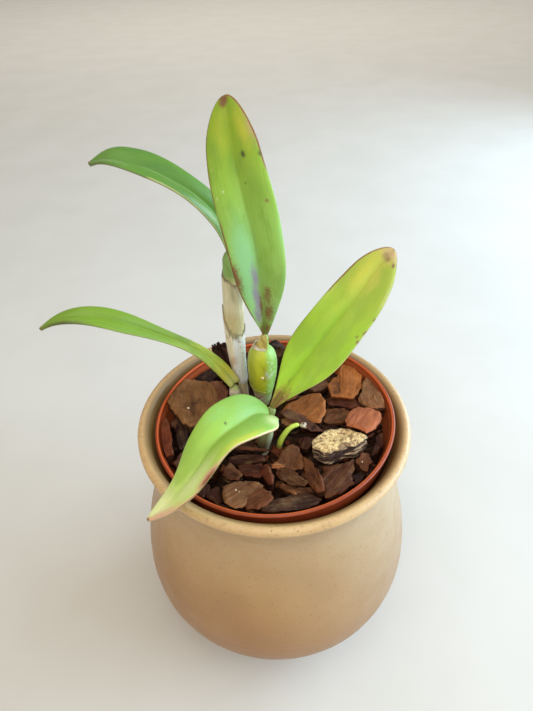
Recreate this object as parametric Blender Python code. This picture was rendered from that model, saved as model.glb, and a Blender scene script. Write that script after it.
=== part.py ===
"""Cattleya orchid in a plastic grower's pot, which hangs by its collar in a round stoneware pot.

Every size is in millimetres and is scaled by MM when a mesh is made. The origin is on the stoneware
pot's axis, on the face that it stands on. +Z is up, and the front leaf hangs over the rim at -Y.
Points of the plant are given from the middle of the stoneware rim.
"""

import math
import random

import bmesh
import bpy
import numpy as np
from mathutils import Matrix, Vector

MM = 0.001
GAP = 0.3

# Stoneware pot
RIM_HEIGHT = 141.0
RIM_RADIUS = 67.6
LIP_ROUND = 2.4
NECK_RADIUS = 62.4
NECK_INNER_RADIUS = 57.4
BELLY_RADIUS = 74.6
FOOT_RADIUS = 36.5
FLOOR_THICK = 8.0
POT_SIDES = 44

# Grower's pot
NURSERY_LIP_RADIUS = 59.0
NURSERY_LIP_ABOVE_RIM = 3.0
NURSERY_HEIGHT = 104.0
NURSERY_BASE_RADIUS = 42.0
NURSERY_WALL = 1.2
NURSERY_LIP_ROLL = 0.9
COLLAR_DEPTH = 10.0
COLLAR_STEP = 2.2
COLLAR_INSET = 0.8
COLLAR_DRAFT = 0.3
NURSERY_LEAN = (math.radians(0.35), math.radians(-2.8))
DRAIN_HOLES = 8
DRAIN_RADIUS = 4.0
DRAIN_RING_RADIUS = 32.0
DRAIN_SIDES = 12
NURSERY_SIDES = 44

# Bark
BARK_BELOW_LIP = 9.0
BARK_HEAP = 5.0
BED_SINK = 3.2
BARK_SEED = 11
CHIP_CORNERS = 6
CHIP_LAYERS = ((-0.8, 0.9), (0.5, 0.86))
CHIP_SQUARENESS = 0.6
SMALL_CHIPS = 21
SMALL_CHIP_REACH = 53.0
GOLDEN_ANGLE = math.radians(137.5)

# Plant
CUT_CLEARANCE = 0.35
BLADE_MIDDLE_THICK = 1.9
BLADE_EDGE_THICK = 0.9
BLADE_BULGE = 0.10
BLADE_ROUND_TIP = 0.16
BLADE_TIP_HALF_WIDTH = 0.5
BLADE_TIP_CROWDING = 1.25
BLADE_STATIONS = 22
BLADE_COLUMNS = 3
CANE_SIDES = 12
BULB_SIDES = 16
SHEATH_RINGS = 6
SHEATH_THICK = 0.65

# A leaf's stations from its base to its tip: point, half width, the way its face looks, fold in degrees.
CANE_LEAF = (
    ((-18.4, 21.5, 83.1), 2.6, (0.66, -0.70, 0.05), 38),
    ((-21.3, 21, 96), 5.6, (0.76, -0.57, 0.28), 26),
    ((-30, 20, 108), 7.2, (0.66, -0.38, 0.63), 20),
    ((-41.5, 19, 117), 8.6, (0.50, -0.20, 0.84), 18),
    ((-54, 18, 123), 9.2, (0.34, -0.10, 0.93), 15),
    ((-62.5, 18, 125), 7.2, (0.10, -0.11, 0.99), 12),
    ((-69.5, 18, 123.5), 4.0, (-0.08, -0.12, 0.99), 10),
)
UPRIGHT_LEAF = (
    ((-3.7, 16, 41.6), 1.7, (0.20, -0.97, -0.05), 48),
    ((-3.7, 15, 52), 5.3, (0.14, -0.98, -0.10), 36),
    ((-4.7, 12, 74), 11.1, (0.14, -0.98, -0.10), 22),
    ((-7, 9.5, 96), 12.1, (0.16, -0.98, -0.08), 15),
    ((-10.2, 8.5, 114), 11.8, (0.10, -0.99, -0.02), 12),
    ((-12.4, 8.5, 129), 10.4, (-0.12, -0.99, 0.05), 9),
    ((-14, 10.5, 149), 8.3, (-0.42, -0.89, 0.15), 5),
)
RIGHT_LEAF = (
    ((-0.8, -6.5, 14.15), 1.8, (-0.22, -0.92, 0.36), 46),
    ((4, -3.5, 20), 4.6, (-0.10, -0.91, 0.41), 32),
    ((14, 2.5, 32), 11.7, (-0.01, -0.92, 0.39), 18),
    ((28, 9.5, 49.5), 14.2, (0.06, -0.94, 0.34), 13),
    ((39, 15, 62.5), 12.9, (0.10, -0.94, 0.32), 10),
    ((47, 19, 73.5), 10.1, (0.09, -0.95, 0.29), 8),
    ((54.2, 22, 81.8), 7.5, (0.09, -0.95, 0.30), 5),
)
LEFT_LEAF = (
    ((-20.2, 17.3, 8.6), 3.3, (0.42, -0.90, 0.12), 40),
    ((-26, 16, 19.5), 3.8, (0.55, -0.78, 0.28), 36),
    ((-35.5, 14, 32), 3.4, (0.62, -0.56, 0.54), 30),
    ((-50.5, 11, 44), 3.7, (0.58, -0.41, 0.70), 21),
    ((-68.5, 6.5, 56), 5.6, (0.45, -0.34, 0.80), 15),
    ((-82, 3.5, 61.8), 5.0, (0.18, -0.28, 0.94), 12),
    ((-94, 2, 61.2), 3.7, (-0.18, -0.20, 0.95), 8),
    ((-102, 1, 57.5), 2.7, (-0.40, -0.15, 0.89), 5),
)
FRONT_LEAF = (
    ((-2.6, -15, 17), 6.0, (0.45, 0.15, 0.88), 20),
    ((-8, -19.4, 21.8), 11.3, (0.44, 0.14, 0.88), 20),
    ((-13.4, -26.1, 24.5), 13.5, (0.34, 0.14, 0.92), 20),
    ((-19.8, -36, 28), 13.2, (0.11, 0.12, 0.98), 19),
    ((-25, -43.5, 28.5), 11.4, (-0.18, 0.0, 0.98), 18),
    ((-29.5, -50, 26), 10.4, (-0.42, -0.22, 0.88), 14),
    ((-35.5, -55.5, 20), 7.9, (-0.54, -0.32, 0.77), 10),
    ((-44, -59.5, 12), 4.6, (-0.52, -0.30, 0.80), 8),
    ((-52, -63.5, 7.5), 3.0, (-0.40, -0.32, 0.86), 5),
)

# Stems: centre points and radii
CANE = (
    ((-15.6, 24, -9.6), 2.3), ((-16.3, 23.7, 3), 2.6), ((-17.6, 23, 16), 3.4), ((-18.4, 22.5, 34), 4.1),
    ((-18, 22, 54), 4.3), ((-17.7, 21.6, 70), 4.1), ((-18.2, 21.5, 82.5), 3.2),
)
GREEN_BULB = (
    ((-5.6, 18.2, -9.6), 3.0), ((-5.4, 18, 0), 4.3), ((-5.4, 17.5, 9), 6.2), ((-5.3, 17, 18.5), 7.5),
    ((-5.2, 16.7, 26), 7.2), ((-5.2, 16.5, 29.5), 6.3), ((-5.1, 16.4, 31.6), 5.0), ((-4.8, 16.3, 33.4), 3.6),
    ((-4.4, 16.2, 35.5), 2.7), ((-3.9, 16.1, 38.5), 2.2), ((-3.7, 16, 41), 2.1),
)
FRONT_BULB = (
    ((-5.8, -13.6, -9.8), 2.4), ((-5.3, -13.5, -3), 3.2), ((-4.2, -13.8, 5), 3.9),
    ((-2.7, -14.8, 15.9), 2.1),
)
RIGHT_BULB = (
    ((-4.8, -3.2, -9.6), 2.4), ((-4.4, -3.8, 0), 3.1), ((-2.4, -5, 7.5), 2.8), ((-0.6, -6.2, 13.2), 2.0),
)
LEFT_BULB = (
    ((-16.6, 18.9, -10.5), 2.0), ((-18.4, 17.2, -4.5), 2.7), ((-20, 16.6, 0), 3.0), ((-20, 17, 7.2), 2.6),
)
NEW_SHOOT = (
    ((-0.3, -14, -12), 1.3), ((1.7, -14, -9), 1.4), ((2.6, -13.9, -4), 1.4), ((5.2, -12.3, 1.6), 1.3),
    ((8.8, -10.4, 4.4), 1.2), ((12.2, -9.1, 4.4), 1.1),
)
SHOOT_KNOB = (((13.0, -8.9, 4.0), 1.2), ((14.2, -8.8, 3.2), 1.7), ((15.4, -8.6, 2.4), 1.3))
RHIZOME = (
    ((-22, 27, -13.2), 2.6), ((-15.6, 23.6, -13.3), 3.2), ((-8, 16.8, -13.5), 3.5), ((-4.2, 8, -13.5), 3.5),
    ((-3.6, -3, -13.4), 3.4), ((-5, -14, -13.2), 3.0), ((-7, -18.5, -13.2), 2.2),
)

# Sheaths on the stems: first and last share of the stem's length, slant of the torn edge, flare; and the
# sides of the bulb that its torn collar covers, from the front round the left to the back
CANE_SHEATH_LOWER = (0.13, 0.60, 0.05, 0.0)
CANE_SHEATH_UPPER = (0.665, 0.86, 0.03, 0.0)
BULB_SHEATH = (0.10, 0.36, 0.03, 0.0)
BULB_COLLAR = (0.80, 0.85, 0.012, 0.6)
COLLAR_SPAN = (12, 20)

# Roots leave the rhizome: where along it, compass angle, reach and depth
ROOTS = ((0.1, 215, 12, 50), (0.3, 60, 14, 66), (0.5, 190, 20, 60), (0.7, 340, 24, 54), (0.9, 280, 16, 62))
ROOT_RADIUS = 1.6
ROOT_SIDES = 6

# Toothed chip: its foot, how far its outline reaches along and up its face, and its teeth
TOOTHED_FOOT = (-19.5, 33.5, -13)
TOOTHED_UP = (-0.32, -0.02, 0.95)
TOOTHED_SIDE = (0.92, -0.2, 0.33)
TOOTHED_RIGHT_EDGE = ((4.2, 0), (7.2, 22))
TOOTHED_LEFT_EDGE = ((-4, 20), (-3.4, 0))
TOOTHED_TOP = ((-3.8, 28.5), (1.6, 36.4), (7, 35.6))
TOOTHED_THICK = 3.8
TEETH = 6
TOOTH_RISE = 1.4

# Chips that show one by one: level of the top face's middle from the lip, its rise towards +X and
# towards +Y, and the corners of the face
SLAB_FOOT = -13.7
SLAB_FOOT_STEP = 0.13
SLAB_FOOT_SHARE = 0.95
SLABS = (
    (-0.5, 0.05, -0.05, ((-54, 21), (-50, 25), (-41.5, 26.5), (-34.5, 21), (-32, 11), (-35.5, -0.5),
                         (-42.5, -6.5), (-48.5, 2.5), (-53.5, 11))),
    (-1.5, 0, 0.1, ((-41, 26), (-34, 29.5), (-28, 28.5), (-25, 24.5), (-24.5, 18.5), (-25, 12.5), (-31, 11),
                    (-37, 16.5))),
    (-2.5, 0, 0.15, ((-46.5, 30), (-43, 35), (-37.5, 40.5), (-31, 41), (-29, 36), (-37.5, 29.5))),
    (-1, 0.35, 0, ((-55, 1.5), (-53, 3), (-50.5, -4.5), (-46, -22), (-49.5, -23.5), (-54, -12))),
    (-2.5, 0, 0, ((-51.5, 7), (-48, 5), (-43, -3.5), (-42, -13.5), (-46, -18), (-49.5, -7))),
    (-2.5, 0, 0, ((-48.5, -25.5), (-46, -20), (-42, -15), (-37.5, -22), (-40, -31.5), (-43, -34))),
    (-4.5, 0, 0, ((-32, -44), (-30, -39.5), (-26, -38.5), (-24, -45), (-25.5, -49))),
    (-2.4, 0, -0.08, ((-24, -40.5), (-18.5, -37), (-11.5, -37), (-4.5, -40), (-8.5, -46.5), (-13.5, -52),
                      (-17.5, -52.5), (-22.5, -49.5))),
    (-1.8, 0.05, -0.1, ((-13.5, -49.5), (-11.5, -45.5), (-6, -42), (-2, -43.5), (-1, -48.5), (-3.5, -52),
                        (-8.5, -54.5), (-13, -53.5))),
    (-2.6, 0, 0, ((-25, -29.5), (-21, -27), (-17.5, -30), (-15, -34), (-16.5, -37), (-21.5, -36.5),
                  (-24.5, -34))),
    (-4, 0, 0, ((-22, -22.5), (-13.5, -21), (-4, -23), (-3.5, -26), (-12, -27), (-22, -26))),
    (-3, 0, 0, ((-18.5, -28), (-6, -27.5), (-4.5, -33), (-7, -36), (-14, -35), (-17, -30.5))),
    (-2.2, 0.3, 0, ((-6, -29), (-3.5, -29), (-0.5, -35.5), (-1, -41), (-3.5, -40.5), (-6, -34))),
    (-2.5, 0.03, -0.12, ((3, 4.5), (7, 11), (15, 16), (24.5, 19), (27, 11), (26, 1), (23, -6.5), (17.5, -5),
                         (13.5, -1), (6.5, 0))),
    (-3, 0, -0.1, ((28.5, 22), (34.5, 30), (38, 38), (42, 36), (46.5, 28), (45, 14.5), (41.5, 10),
                   (33, 12.5), (30, 13))),
    (-2.5, -0.15, 0, ((43, 9), (45.5, 20), (49, 24), (52, 19), (54, 9), (53.5, 2), (49.5, 2.5), (46, 4.5))),
    (-5, 0, 0, ((28, 15), (33, 15.5), (43.5, 12), (45.5, 7.5), (40, 6.5), (35.5, 9), (28.5, 10))),
    (-5.4, 0, 0, ((27, 8), (36.5, 8), (39, 4), (35.5, -0.5), (29, -2.5), (24.5, -1.5), (26.5, 3.5))),
    (-4, 0, -0.12, ((21, -30), (29, -29), (37, -26.5), (37, -31.5), (34, -37.5), (35, -41.5), (29.5, -46.5),
                    (21.5, -49), (20, -41), (21, -35))),
    (-2, 0.3, 0, ((13.5, -25), (17, -29), (20.5, -38), (21.5, -46.5), (18, -47), (15, -41.5), (13, -34.5),
                  (12.5, -28.5))),
    (-3.5, 0, 0, ((41, -23), (43.5, -24.5), (44.5, -30), (41.5, -35.5), (38.5, -33), (38, -28))),
    (-4, 0, 0, ((49, -12.5), (53, -12), (51.5, -19), (48, -25), (45, -27), (45.5, -23.5), (48, -18))),
    (-4.5, 0, 0, ((34, -37), (38.5, -33.5), (41, -35.5), (38.5, -39), (35.5, -41))),
    (-2.5, 0, -0.1, ((-6.5, -50.5), (-1.5, -48.5), (4, -47), (10, -46), (16, -45.5), (20.5, -49.5),
                     (17, -52.5), (11, -54.5), (0, -55.5), (-6, -54.5))),
    (-3, 0, 0, ((-0.5, -30.5), (3, -21), (7.5, -17.5), (11.5, -18.5), (13, -25), (13.5, -32), (8, -32.5),
                (3, -31.5))),
    (-2.5, 0.1, -0.1, ((0, -30.5), (4, -30.5), (10.5, -35), (15, -41), (13.5, -43), (5.5, -41),
                       (0.5, -35.5))),
    (-3.6, 0, 0, ((0, -40), (7.5, -41), (16.5, -42.5), (17, -44.5), (10, -45), (5, -44))),
    (-5, 0, 0, ((11, -12), (17, -11.5), (18.5, -16), (15, -19), (11.5, -18))),
)
PALE_SLAB = (0.4, -0.02, -0.14, ((18.5, -18.5), (21, -14), (27.5, -10.5), (33, -10), (38.5, -13), (42.5, -18.5),
                                 (39.5, -22.5), (33, -26), (25.5, -28), (21.5, -27.5), (19, -23)))
PALE_THICK = 7.5
RED_SLAB = (-0.8, -0.02, -0.14, ((35, -5), (38, 2), (42.5, 5), (49.5, 3), (53.5, -0.5), (53.5, -5.5), (49, -12),
                                 (44, -17), (40.5, -12), (35.5, -9.5)))
RED_THICK = 5.0

# Chips that mostly lie behind the plant: x, y, lift, length, width, thickness, turn, two tilts
PLACED_CHIPS = (
    (5, 50, 2, 17, 12, 7, 20, 12, 10), (24, 45, 1, 17, 12, 6, 50, 0, 8), (-16, 48, 1, 17, 12, 6, 80, 6, 0),
    (-34, 4, -1, 18, 13, 6, 20, 6, 0), (-29, -10, 0, 20, 14, 6, 70, -6, 0), (-15, -16, 0, 17, 8, 6, -5, 0, 0),
    (-33, -26, 0, 17, 13, 6, 120, 0, 0), (-37, -37, 0, 12, 9, 6, 130, 0, 0), (-22, -52, 0, 10, 6, 6, 160, 0, 0),
    (44, -36, 0, 10, 7, 6, 130, 0, 0), (10, 31, 1, 19, 13, 6, 120, 0, -6), (24, 26, 0, 15, 11, 6, 30, 8, 0),
    (27, -5, -2, 12, 8, 6, 150, 0, 0), (-9, 34, 0, 12, 8, 6, 60, 0, 6), (9, 18, 0, 10, 8, 6, 20, 0, 0),
)
# The long chip that stands on end behind the green bulb, in the same way
STANDING_CHIP = (-3, 33, 13.6, 34, 20, 5, 90, 18, -80)


def clear_scene():
    for old in list(bpy.data.objects):
        bpy.data.objects.remove(old, do_unlink=True)


def material(name, colour, roughness, metallic=0.0):
    made = bpy.data.materials.new(name)
    made.use_nodes = True
    shader = made.node_tree.nodes["Principled BSDF"]
    shader.inputs["Base Color"].default_value = (*colour, 1.0)
    shader.inputs["Roughness"].default_value = roughness
    shader.inputs["Metallic"].default_value = metallic
    made.diffuse_color = (*colour, 1.0)
    return made


def empty(name, location=(0, 0, 0), rotation=(0, 0, 0)):
    made = bpy.data.objects.new(name, None)
    made.location = Vector(location) * MM
    made.rotation_euler = rotation
    bpy.context.collection.objects.link(made)
    return made


def solid(name, points, faces, finish, parent=None, smooth_angle=40):
    """Makes one object from points in millimetres, with its faces turned outwards."""
    mesh = bpy.data.meshes.new(name)
    mesh.from_pydata([tuple(float(c) * MM for c in p) for p in points], [], faces)
    work = bmesh.new()
    work.from_mesh(mesh)
    bmesh.ops.recalc_face_normals(work, faces=work.faces)
    work.to_mesh(mesh)
    work.free()
    mesh.shade_smooth()
    mesh.set_sharp_from_angle(angle=math.radians(smooth_angle))
    made = bpy.data.objects.new(name, mesh)
    made.parent = parent
    made.data.materials.append(finish)
    bpy.context.collection.objects.link(made)
    return made


def as_cutter(thing):
    thing.hide_render = True
    thing.display_type = "WIRE"
    return thing


def combine(thing, others, operation, solver="EXACT"):
    """Joins, cuts or crops an object with others, applies the result and removes the others."""
    group = bpy.data.collections.new(thing.name + "_others")
    bpy.context.scene.collection.children.link(group)
    for other in others:
        group.objects.link(as_cutter(other))
    step = thing.modifiers.new(operation.lower(), "BOOLEAN")
    step.operation = operation
    step.solver = solver
    step.operand_type = "COLLECTION"
    step.collection = group
    bpy.context.view_layer.update()
    read = thing.evaluated_get(bpy.context.evaluated_depsgraph_get())
    mesh = bpy.data.meshes.new_from_object(read)
    thing.modifiers.remove(step)
    thing.data = mesh
    for other in others:
        bpy.data.objects.remove(other, do_unlink=True)
    bpy.data.collections.remove(group)


def drop_scraps(thing):
    """Keeps the largest connected body of a mesh and drops the crumbs that a cut left loose."""
    work = bmesh.new()
    work.from_mesh(thing.data)
    unseen = set(work.verts)
    bodies = []
    while unseen:
        front = [unseen.pop()]
        body = list(front)
        while front:
            near = {e.other_vert(v) for v in front for e in v.link_edges} & unseen
            unseen -= near
            front = list(near)
            body += front
        bodies.append(body)
    bodies.sort(key=len)
    bmesh.ops.delete(work, geom=[v for body in bodies[:-1] for v in body], context="VERTS")
    work.to_mesh(thing.data)
    work.free()


def natural_spline(knots, values, places):
    """Natural cubic spline through the values at the knots, read at the places."""
    knots = np.asarray(knots, float)
    rows = np.asarray(values, float).reshape(len(knots), -1)
    count = len(knots)
    step = np.diff(knots)
    system = np.eye(count)
    right = np.zeros_like(rows)
    for i in range(1, count - 1):
        system[i, i - 1:i + 2] = step[i - 1], 2 * (step[i - 1] + step[i]), step[i]
        right[i] = 6 * ((rows[i + 1] - rows[i]) / step[i] - (rows[i] - rows[i - 1]) / step[i - 1])
    bend = np.linalg.solve(system, right)
    i = np.clip(np.searchsorted(knots, places, side="right") - 1, 0, count - 2)
    after = ((places - knots[i]) / step[i])[:, None]
    before = 1 - after
    cubic = (before ** 3 - before) * bend[i] + (after ** 3 - after) * bend[i + 1]
    return before * rows[i] + after * rows[i + 1] + cubic * (step[i] ** 2)[:, None] / 6


def chord_places(points):
    lengths = np.linalg.norm(np.diff(np.asarray(points, float), axis=0), axis=1)
    return np.concatenate([[0.0], np.cumsum(lengths)]) / lengths.sum()


def unit(vectors):
    return vectors / np.linalg.norm(vectors, axis=-1, keepdims=True)


def ring_faces(rings, ring_size):
    """Quads between rings of points, split into triangles, and a fan over each end."""
    faces = []
    for r in range(rings - 1):
        for i in range(ring_size):
            a, b = r * ring_size + i, r * ring_size + (i + 1) % ring_size
            faces.append((a, b, b + ring_size))
            faces.append((a, b + ring_size, a + ring_size))
    faces.append(tuple(range(ring_size - 1, -1, -1)))
    last = (rings - 1) * ring_size
    faces.append(tuple(range(last, last + ring_size)))
    return faces


def revolve(name, profile, sides, finish, parent=None):
    """Turns a closed profile of (radius, height) points, whose ends lie on the axis."""
    points = [(0, 0, profile[0][1])]
    inner = profile[1:-1]
    for radius, height in inner:
        for i in range(sides):
            angle = 2 * math.pi * i / sides
            points.append((radius * math.cos(angle), radius * math.sin(angle), height))
    points.append((0, 0, profile[-1][1]))
    faces = []
    last = len(points) - 1
    for i in range(sides):
        j = (i + 1) % sides
        faces.append((0, 1 + j, 1 + i))
        for r in range(len(inner) - 1):
            low, high = 1 + r * sides, 1 + (r + 1) * sides
            faces.append((low + i, low + j, high + j, high + i))
        top = 1 + (len(inner) - 1) * sides
        faces.append((top + i, top + j, last))
    return solid(name, points, faces, finish, parent)


def arc(centre, radius, start, stop, count):
    """Points (radius, height) of an arc, angles in degrees."""
    turns = [math.radians(start + (stop - start) * i / (count - 1)) for i in range(count)]
    return [(centre[0] + radius * math.cos(t), centre[1] + radius * math.sin(t)) for t in turns]


def profile_curve(points, between):
    """A smooth run through hand-set (radius, height) points, with extra points between each two."""
    knots = chord_places(points)
    spots = np.arange((len(points) - 1) * (between + 1) + 1) / (between + 1)
    places = np.interp(spots, range(len(points)), knots)
    return [tuple(p) for p in natural_spline(knots, points, places)]


def cachepot(finish):
    """Stoneware pot: flat foot, round belly, narrow neck and a rolled lip."""
    top = RIM_HEIGHT
    outside = profile_curve([
        (FOOT_RADIUS + 3, 1.2), (59, 15.5), (BELLY_RADIUS - 1.4, 36), (BELLY_RADIUS, 55),
        (70.6, 80), (63.9, 107), (NECK_RADIUS + 0.1, top - 15), (RIM_RADIUS - 1.4, top - 3.6),
    ], 1)
    lip = arc((RIM_RADIUS - LIP_ROUND, top), LIP_ROUND, -40, 100, 4)
    inside = profile_curve([
        (RIM_RADIUS - 5.4, top + 1.2), (60.2, top - 3.4), (57.9, top - 9), (NECK_INNER_RADIUS, top - 14),
        (59.8, 103), (65.8, 80), (BELLY_RADIUS - 5.2, 55), (BELLY_RADIUS - 6.6, 38), (55, 19),
        (34, FLOOR_THICK + 1),
    ], 0)
    profile = [(0, 0), (FOOT_RADIUS, 0)] + outside + lip + inside + [(28, FLOOR_THICK), (0, FLOOR_THICK)]
    return revolve("cachepot", profile, POT_SIDES, finish)


def nursery_wall_radius(depth):
    """Outer radius of the grower's pot under its collar, at a depth below the lip."""
    share = (depth - COLLAR_DEPTH) / (NURSERY_HEIGHT - COLLAR_DEPTH)
    top_radius = NURSERY_LIP_RADIUS - COLLAR_INSET - COLLAR_STEP
    return top_radius + (NURSERY_BASE_RADIUS - top_radius) * share


def nursery_pot(finish, parent):
    """Plastic pot: rolled lip, straight collar, tapering wall and a floor with drain holes."""
    foot = -NURSERY_HEIGHT
    half = NURSERY_HEIGHT / 2
    collar = NURSERY_LIP_RADIUS - COLLAR_INSET
    outside = [
        (0, foot), (NURSERY_BASE_RADIUS - 2, foot), (NURSERY_BASE_RADIUS, foot + 2),
        (nursery_wall_radius(half), -half), (nursery_wall_radius(COLLAR_DEPTH + 0.8), -COLLAR_DEPTH - 0.8),
        (collar - COLLAR_DRAFT, -COLLAR_DEPTH), (collar, -1.4),
    ]
    roll = arc((NURSERY_LIP_RADIUS, -NURSERY_LIP_ROLL), NURSERY_LIP_ROLL, -60, 150, 4)
    wall = NURSERY_WALL
    inside = [
        (collar - wall, -2.4), (collar - COLLAR_DRAFT - wall, -COLLAR_DEPTH + 1),
        (nursery_wall_radius(COLLAR_DEPTH + 2) - wall, -COLLAR_DEPTH - 2),
        (nursery_wall_radius(half) - wall, -half), (NURSERY_BASE_RADIUS - wall, foot + 3.4),
        (NURSERY_BASE_RADIUS - 3.4, foot + wall), (0, foot + wall),
    ]
    pot = revolve("nursery_pot", outside + roll + inside, NURSERY_SIDES, finish, parent)
    holes = []
    for i in range(DRAIN_HOLES):
        angle = 2 * math.pi * (i + 0.5) / DRAIN_HOLES
        centre = (DRAIN_RING_RADIUS * math.cos(angle), DRAIN_RING_RADIUS * math.sin(angle))
        holes.append(drain_cutter(i, centre, foot, finish, parent))
    combine(pot, holes, "DIFFERENCE")
    return pot


def drain_cutter(index, centre, foot, finish, parent):
    points = []
    for height in (foot - 2, foot + NURSERY_WALL + 2):
        for i in range(DRAIN_SIDES):
            angle = 2 * math.pi * i / DRAIN_SIDES
            x = centre[0] + DRAIN_RADIUS * math.cos(angle)
            y = centre[1] + DRAIN_RADIUS * math.sin(angle)
            points.append((x, y, height))
    return solid(f"drain_{index}", points, ring_faces(2, DRAIN_SIDES), finish, parent)


def chip_shape(rng, size, turn, tilts, centre):
    """Points of one bark chip: a split slab with uneven corners and a narrower top."""
    length, width, thick = size
    matrix = Matrix.Rotation(math.radians(turn), 3, "Z")
    matrix @= Matrix.Rotation(math.radians(tilts[0]), 3, "X")
    matrix @= Matrix.Rotation(math.radians(tilts[1]), 3, "Y")
    points = []
    for layer, shrink in CHIP_LAYERS:
        for i in range(CHIP_CORNERS):
            angle = 2 * math.pi * (i + rng.uniform(-0.25, 0.25)) / CHIP_CORNERS
            square = max(abs(math.cos(angle)), abs(math.sin(angle)))
            reach = shrink * rng.uniform(0.88, 1.06) / (1 - CHIP_SQUARENESS * (1 - square))
            x = 0.5 * length * reach * math.cos(angle)
            y = 0.5 * width * reach * math.sin(angle)
            z = thick * (layer + rng.uniform(-0.1, 0.1))
            points.append(Vector(centre) + matrix @ Vector((x, y, z)))
    return points


def hull_object(name, points, finish, parent):
    """The convex solid round a set of points."""
    work = bmesh.new()
    for point in points:
        work.verts.new(point)
    made = bmesh.ops.convex_hull(work, input=work.verts)
    loose = [v for v in made["geom_unused"] if isinstance(v, bmesh.types.BMVert)]
    loose += [v for v in made["geom_interior"] if isinstance(v, bmesh.types.BMVert)]
    bmesh.ops.delete(work, geom=list(set(loose)), context="VERTS")
    work.verts.index_update()
    corners = [tuple(v.co) for v in work.verts]
    faces = [tuple(v.index for v in f.verts) for f in work.faces]
    work.free()
    return solid(name, corners, faces, finish, parent, smooth_angle=25)


def placed_chip(name, row, rng, finish, parent):
    x, y, lift, length, width, thick, turn, side_tilt, end_tilt = row
    centre = (x, y, lift - BARK_BELOW_LIP + BARK_HEAP * max(0.0, -x) / NURSERY_LIP_RADIUS)
    points = chip_shape(rng, (length, width, thick), turn, (side_tilt, end_tilt), centre)
    return hull_object(name, points, finish, parent)


def slab(name, row, foot, finish, parent, grow=0.0):
    """A chip from the corners of its top face, a little narrower at its foot."""
    level, rise_x, rise_y, corners = row
    corners = np.array(corners, float)
    middle = corners.mean(0)
    out = corners - middle
    reach = np.linalg.norm(out, axis=1)[:, None]
    points = []
    for share, side in ((1.0, 1), (SLAB_FOOT_SHARE, -1)):
        spread = out * (share + grow / reach)
        height = level if side > 0 else foot
        heights = height + side * grow + spread @ np.array((rise_x, rise_y))
        points += [(*place, z) for place, z in zip(middle + spread, heights)]
    return hull_object(name, points, finish, parent)


def bark_chips(finish, parent):
    """Chips that show, chips behind the plant, small ones in a sunflower spiral, and one on end."""
    rng = random.Random(BARK_SEED)
    chips = []
    for i, row in enumerate(SLABS):
        chips.append(slab(f"slab_{i}", row, SLAB_FOOT - SLAB_FOOT_STEP * i, finish, parent))
    for i, row in enumerate(PLACED_CHIPS):
        chips.append(placed_chip(f"chip_{i}", row, rng, finish, parent))
    for i in range(SMALL_CHIPS):
        reach = SMALL_CHIP_REACH * math.sqrt((i + 0.5) / SMALL_CHIPS)
        angle = i * GOLDEN_ANGLE
        row = (
            reach * math.cos(angle), reach * math.sin(angle), rng.uniform(-3.5, -1.5),
            rng.uniform(10, 15), rng.uniform(7, 11), rng.uniform(5, 7),
            rng.uniform(0, 180), rng.uniform(-22, 22), rng.uniform(-22, 22),
        )
        chips.append(placed_chip(f"small_chip_{i}", row, rng, finish, parent))
    chips.append(placed_chip("standing_chip", STANDING_CHIP, rng, finish, parent))
    return chips


def bed_room(name, top, finish, parent):
    """The space inside the grower's pot, drawn in by the gap, up to a height from the lip."""
    wall = NURSERY_WALL + GAP
    foot = -NURSERY_HEIGHT + wall
    half = NURSERY_HEIGHT / 2
    collar = NURSERY_LIP_RADIUS - COLLAR_INSET - COLLAR_DRAFT - wall
    profile = [
        (0, foot), (NURSERY_BASE_RADIUS - 4 - GAP, foot), (NURSERY_BASE_RADIUS - wall, foot + 3),
        (nursery_wall_radius(half) - wall, -half),
        (nursery_wall_radius(COLLAR_DEPTH + 2) - wall, -COLLAR_DEPTH - 2),
    ]
    if top > -COLLAR_DEPTH:
        profile += [(collar, -COLLAR_DEPTH + 1), (collar, top)]
    profile += [(0, top)]
    return revolve(name, profile, NURSERY_SIDES, finish, parent)


def bark_bed(finish, parent, cutters):
    """Filled bed whose top is a heap of chips, cropped to the pot's inside and holed for the stems."""
    bed = bed_room("bark_bed", -BARK_BELOW_LIP - BED_SINK, finish, parent)
    combine(bed, bark_chips(finish, parent), "UNION")
    combine(bed, [bed_room("bed_room", 12.0, finish, parent)], "INTERSECT")
    combine(bed, cutters, "DIFFERENCE")
    drop_scraps(bed)
    return bed


def limb(name, stations, sides, rings, finish, parent, grow=0.0):
    """A round stem through stations of (centre, radius), closed at both ends."""
    centres = np.array([s[0] for s in stations], float)
    radii = np.array([[s[1]] for s in stations], float)
    knots = chord_places(centres)
    places = np.linspace(0, 1, rings)
    line = natural_spline(knots, centres, places)
    girth = natural_spline(knots, radii, places)[:, 0] + grow
    along = unit(np.gradient(line, axis=0))
    line[0] -= along[0] * grow
    line[-1] += along[-1] * grow
    side = unit(np.cross(along, (0.0, 1.0, 0.15)))
    up = np.cross(side, along)
    points = []
    for r in range(rings):
        for i in range(sides):
            angle = 2 * math.pi * i / sides
            out = math.cos(angle) * side[r] + math.sin(angle) * up[r]
            points.append(line[r] + girth[r] * out)
    return solid(name, points, ring_faces(rings, sides), finish, parent)


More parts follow.
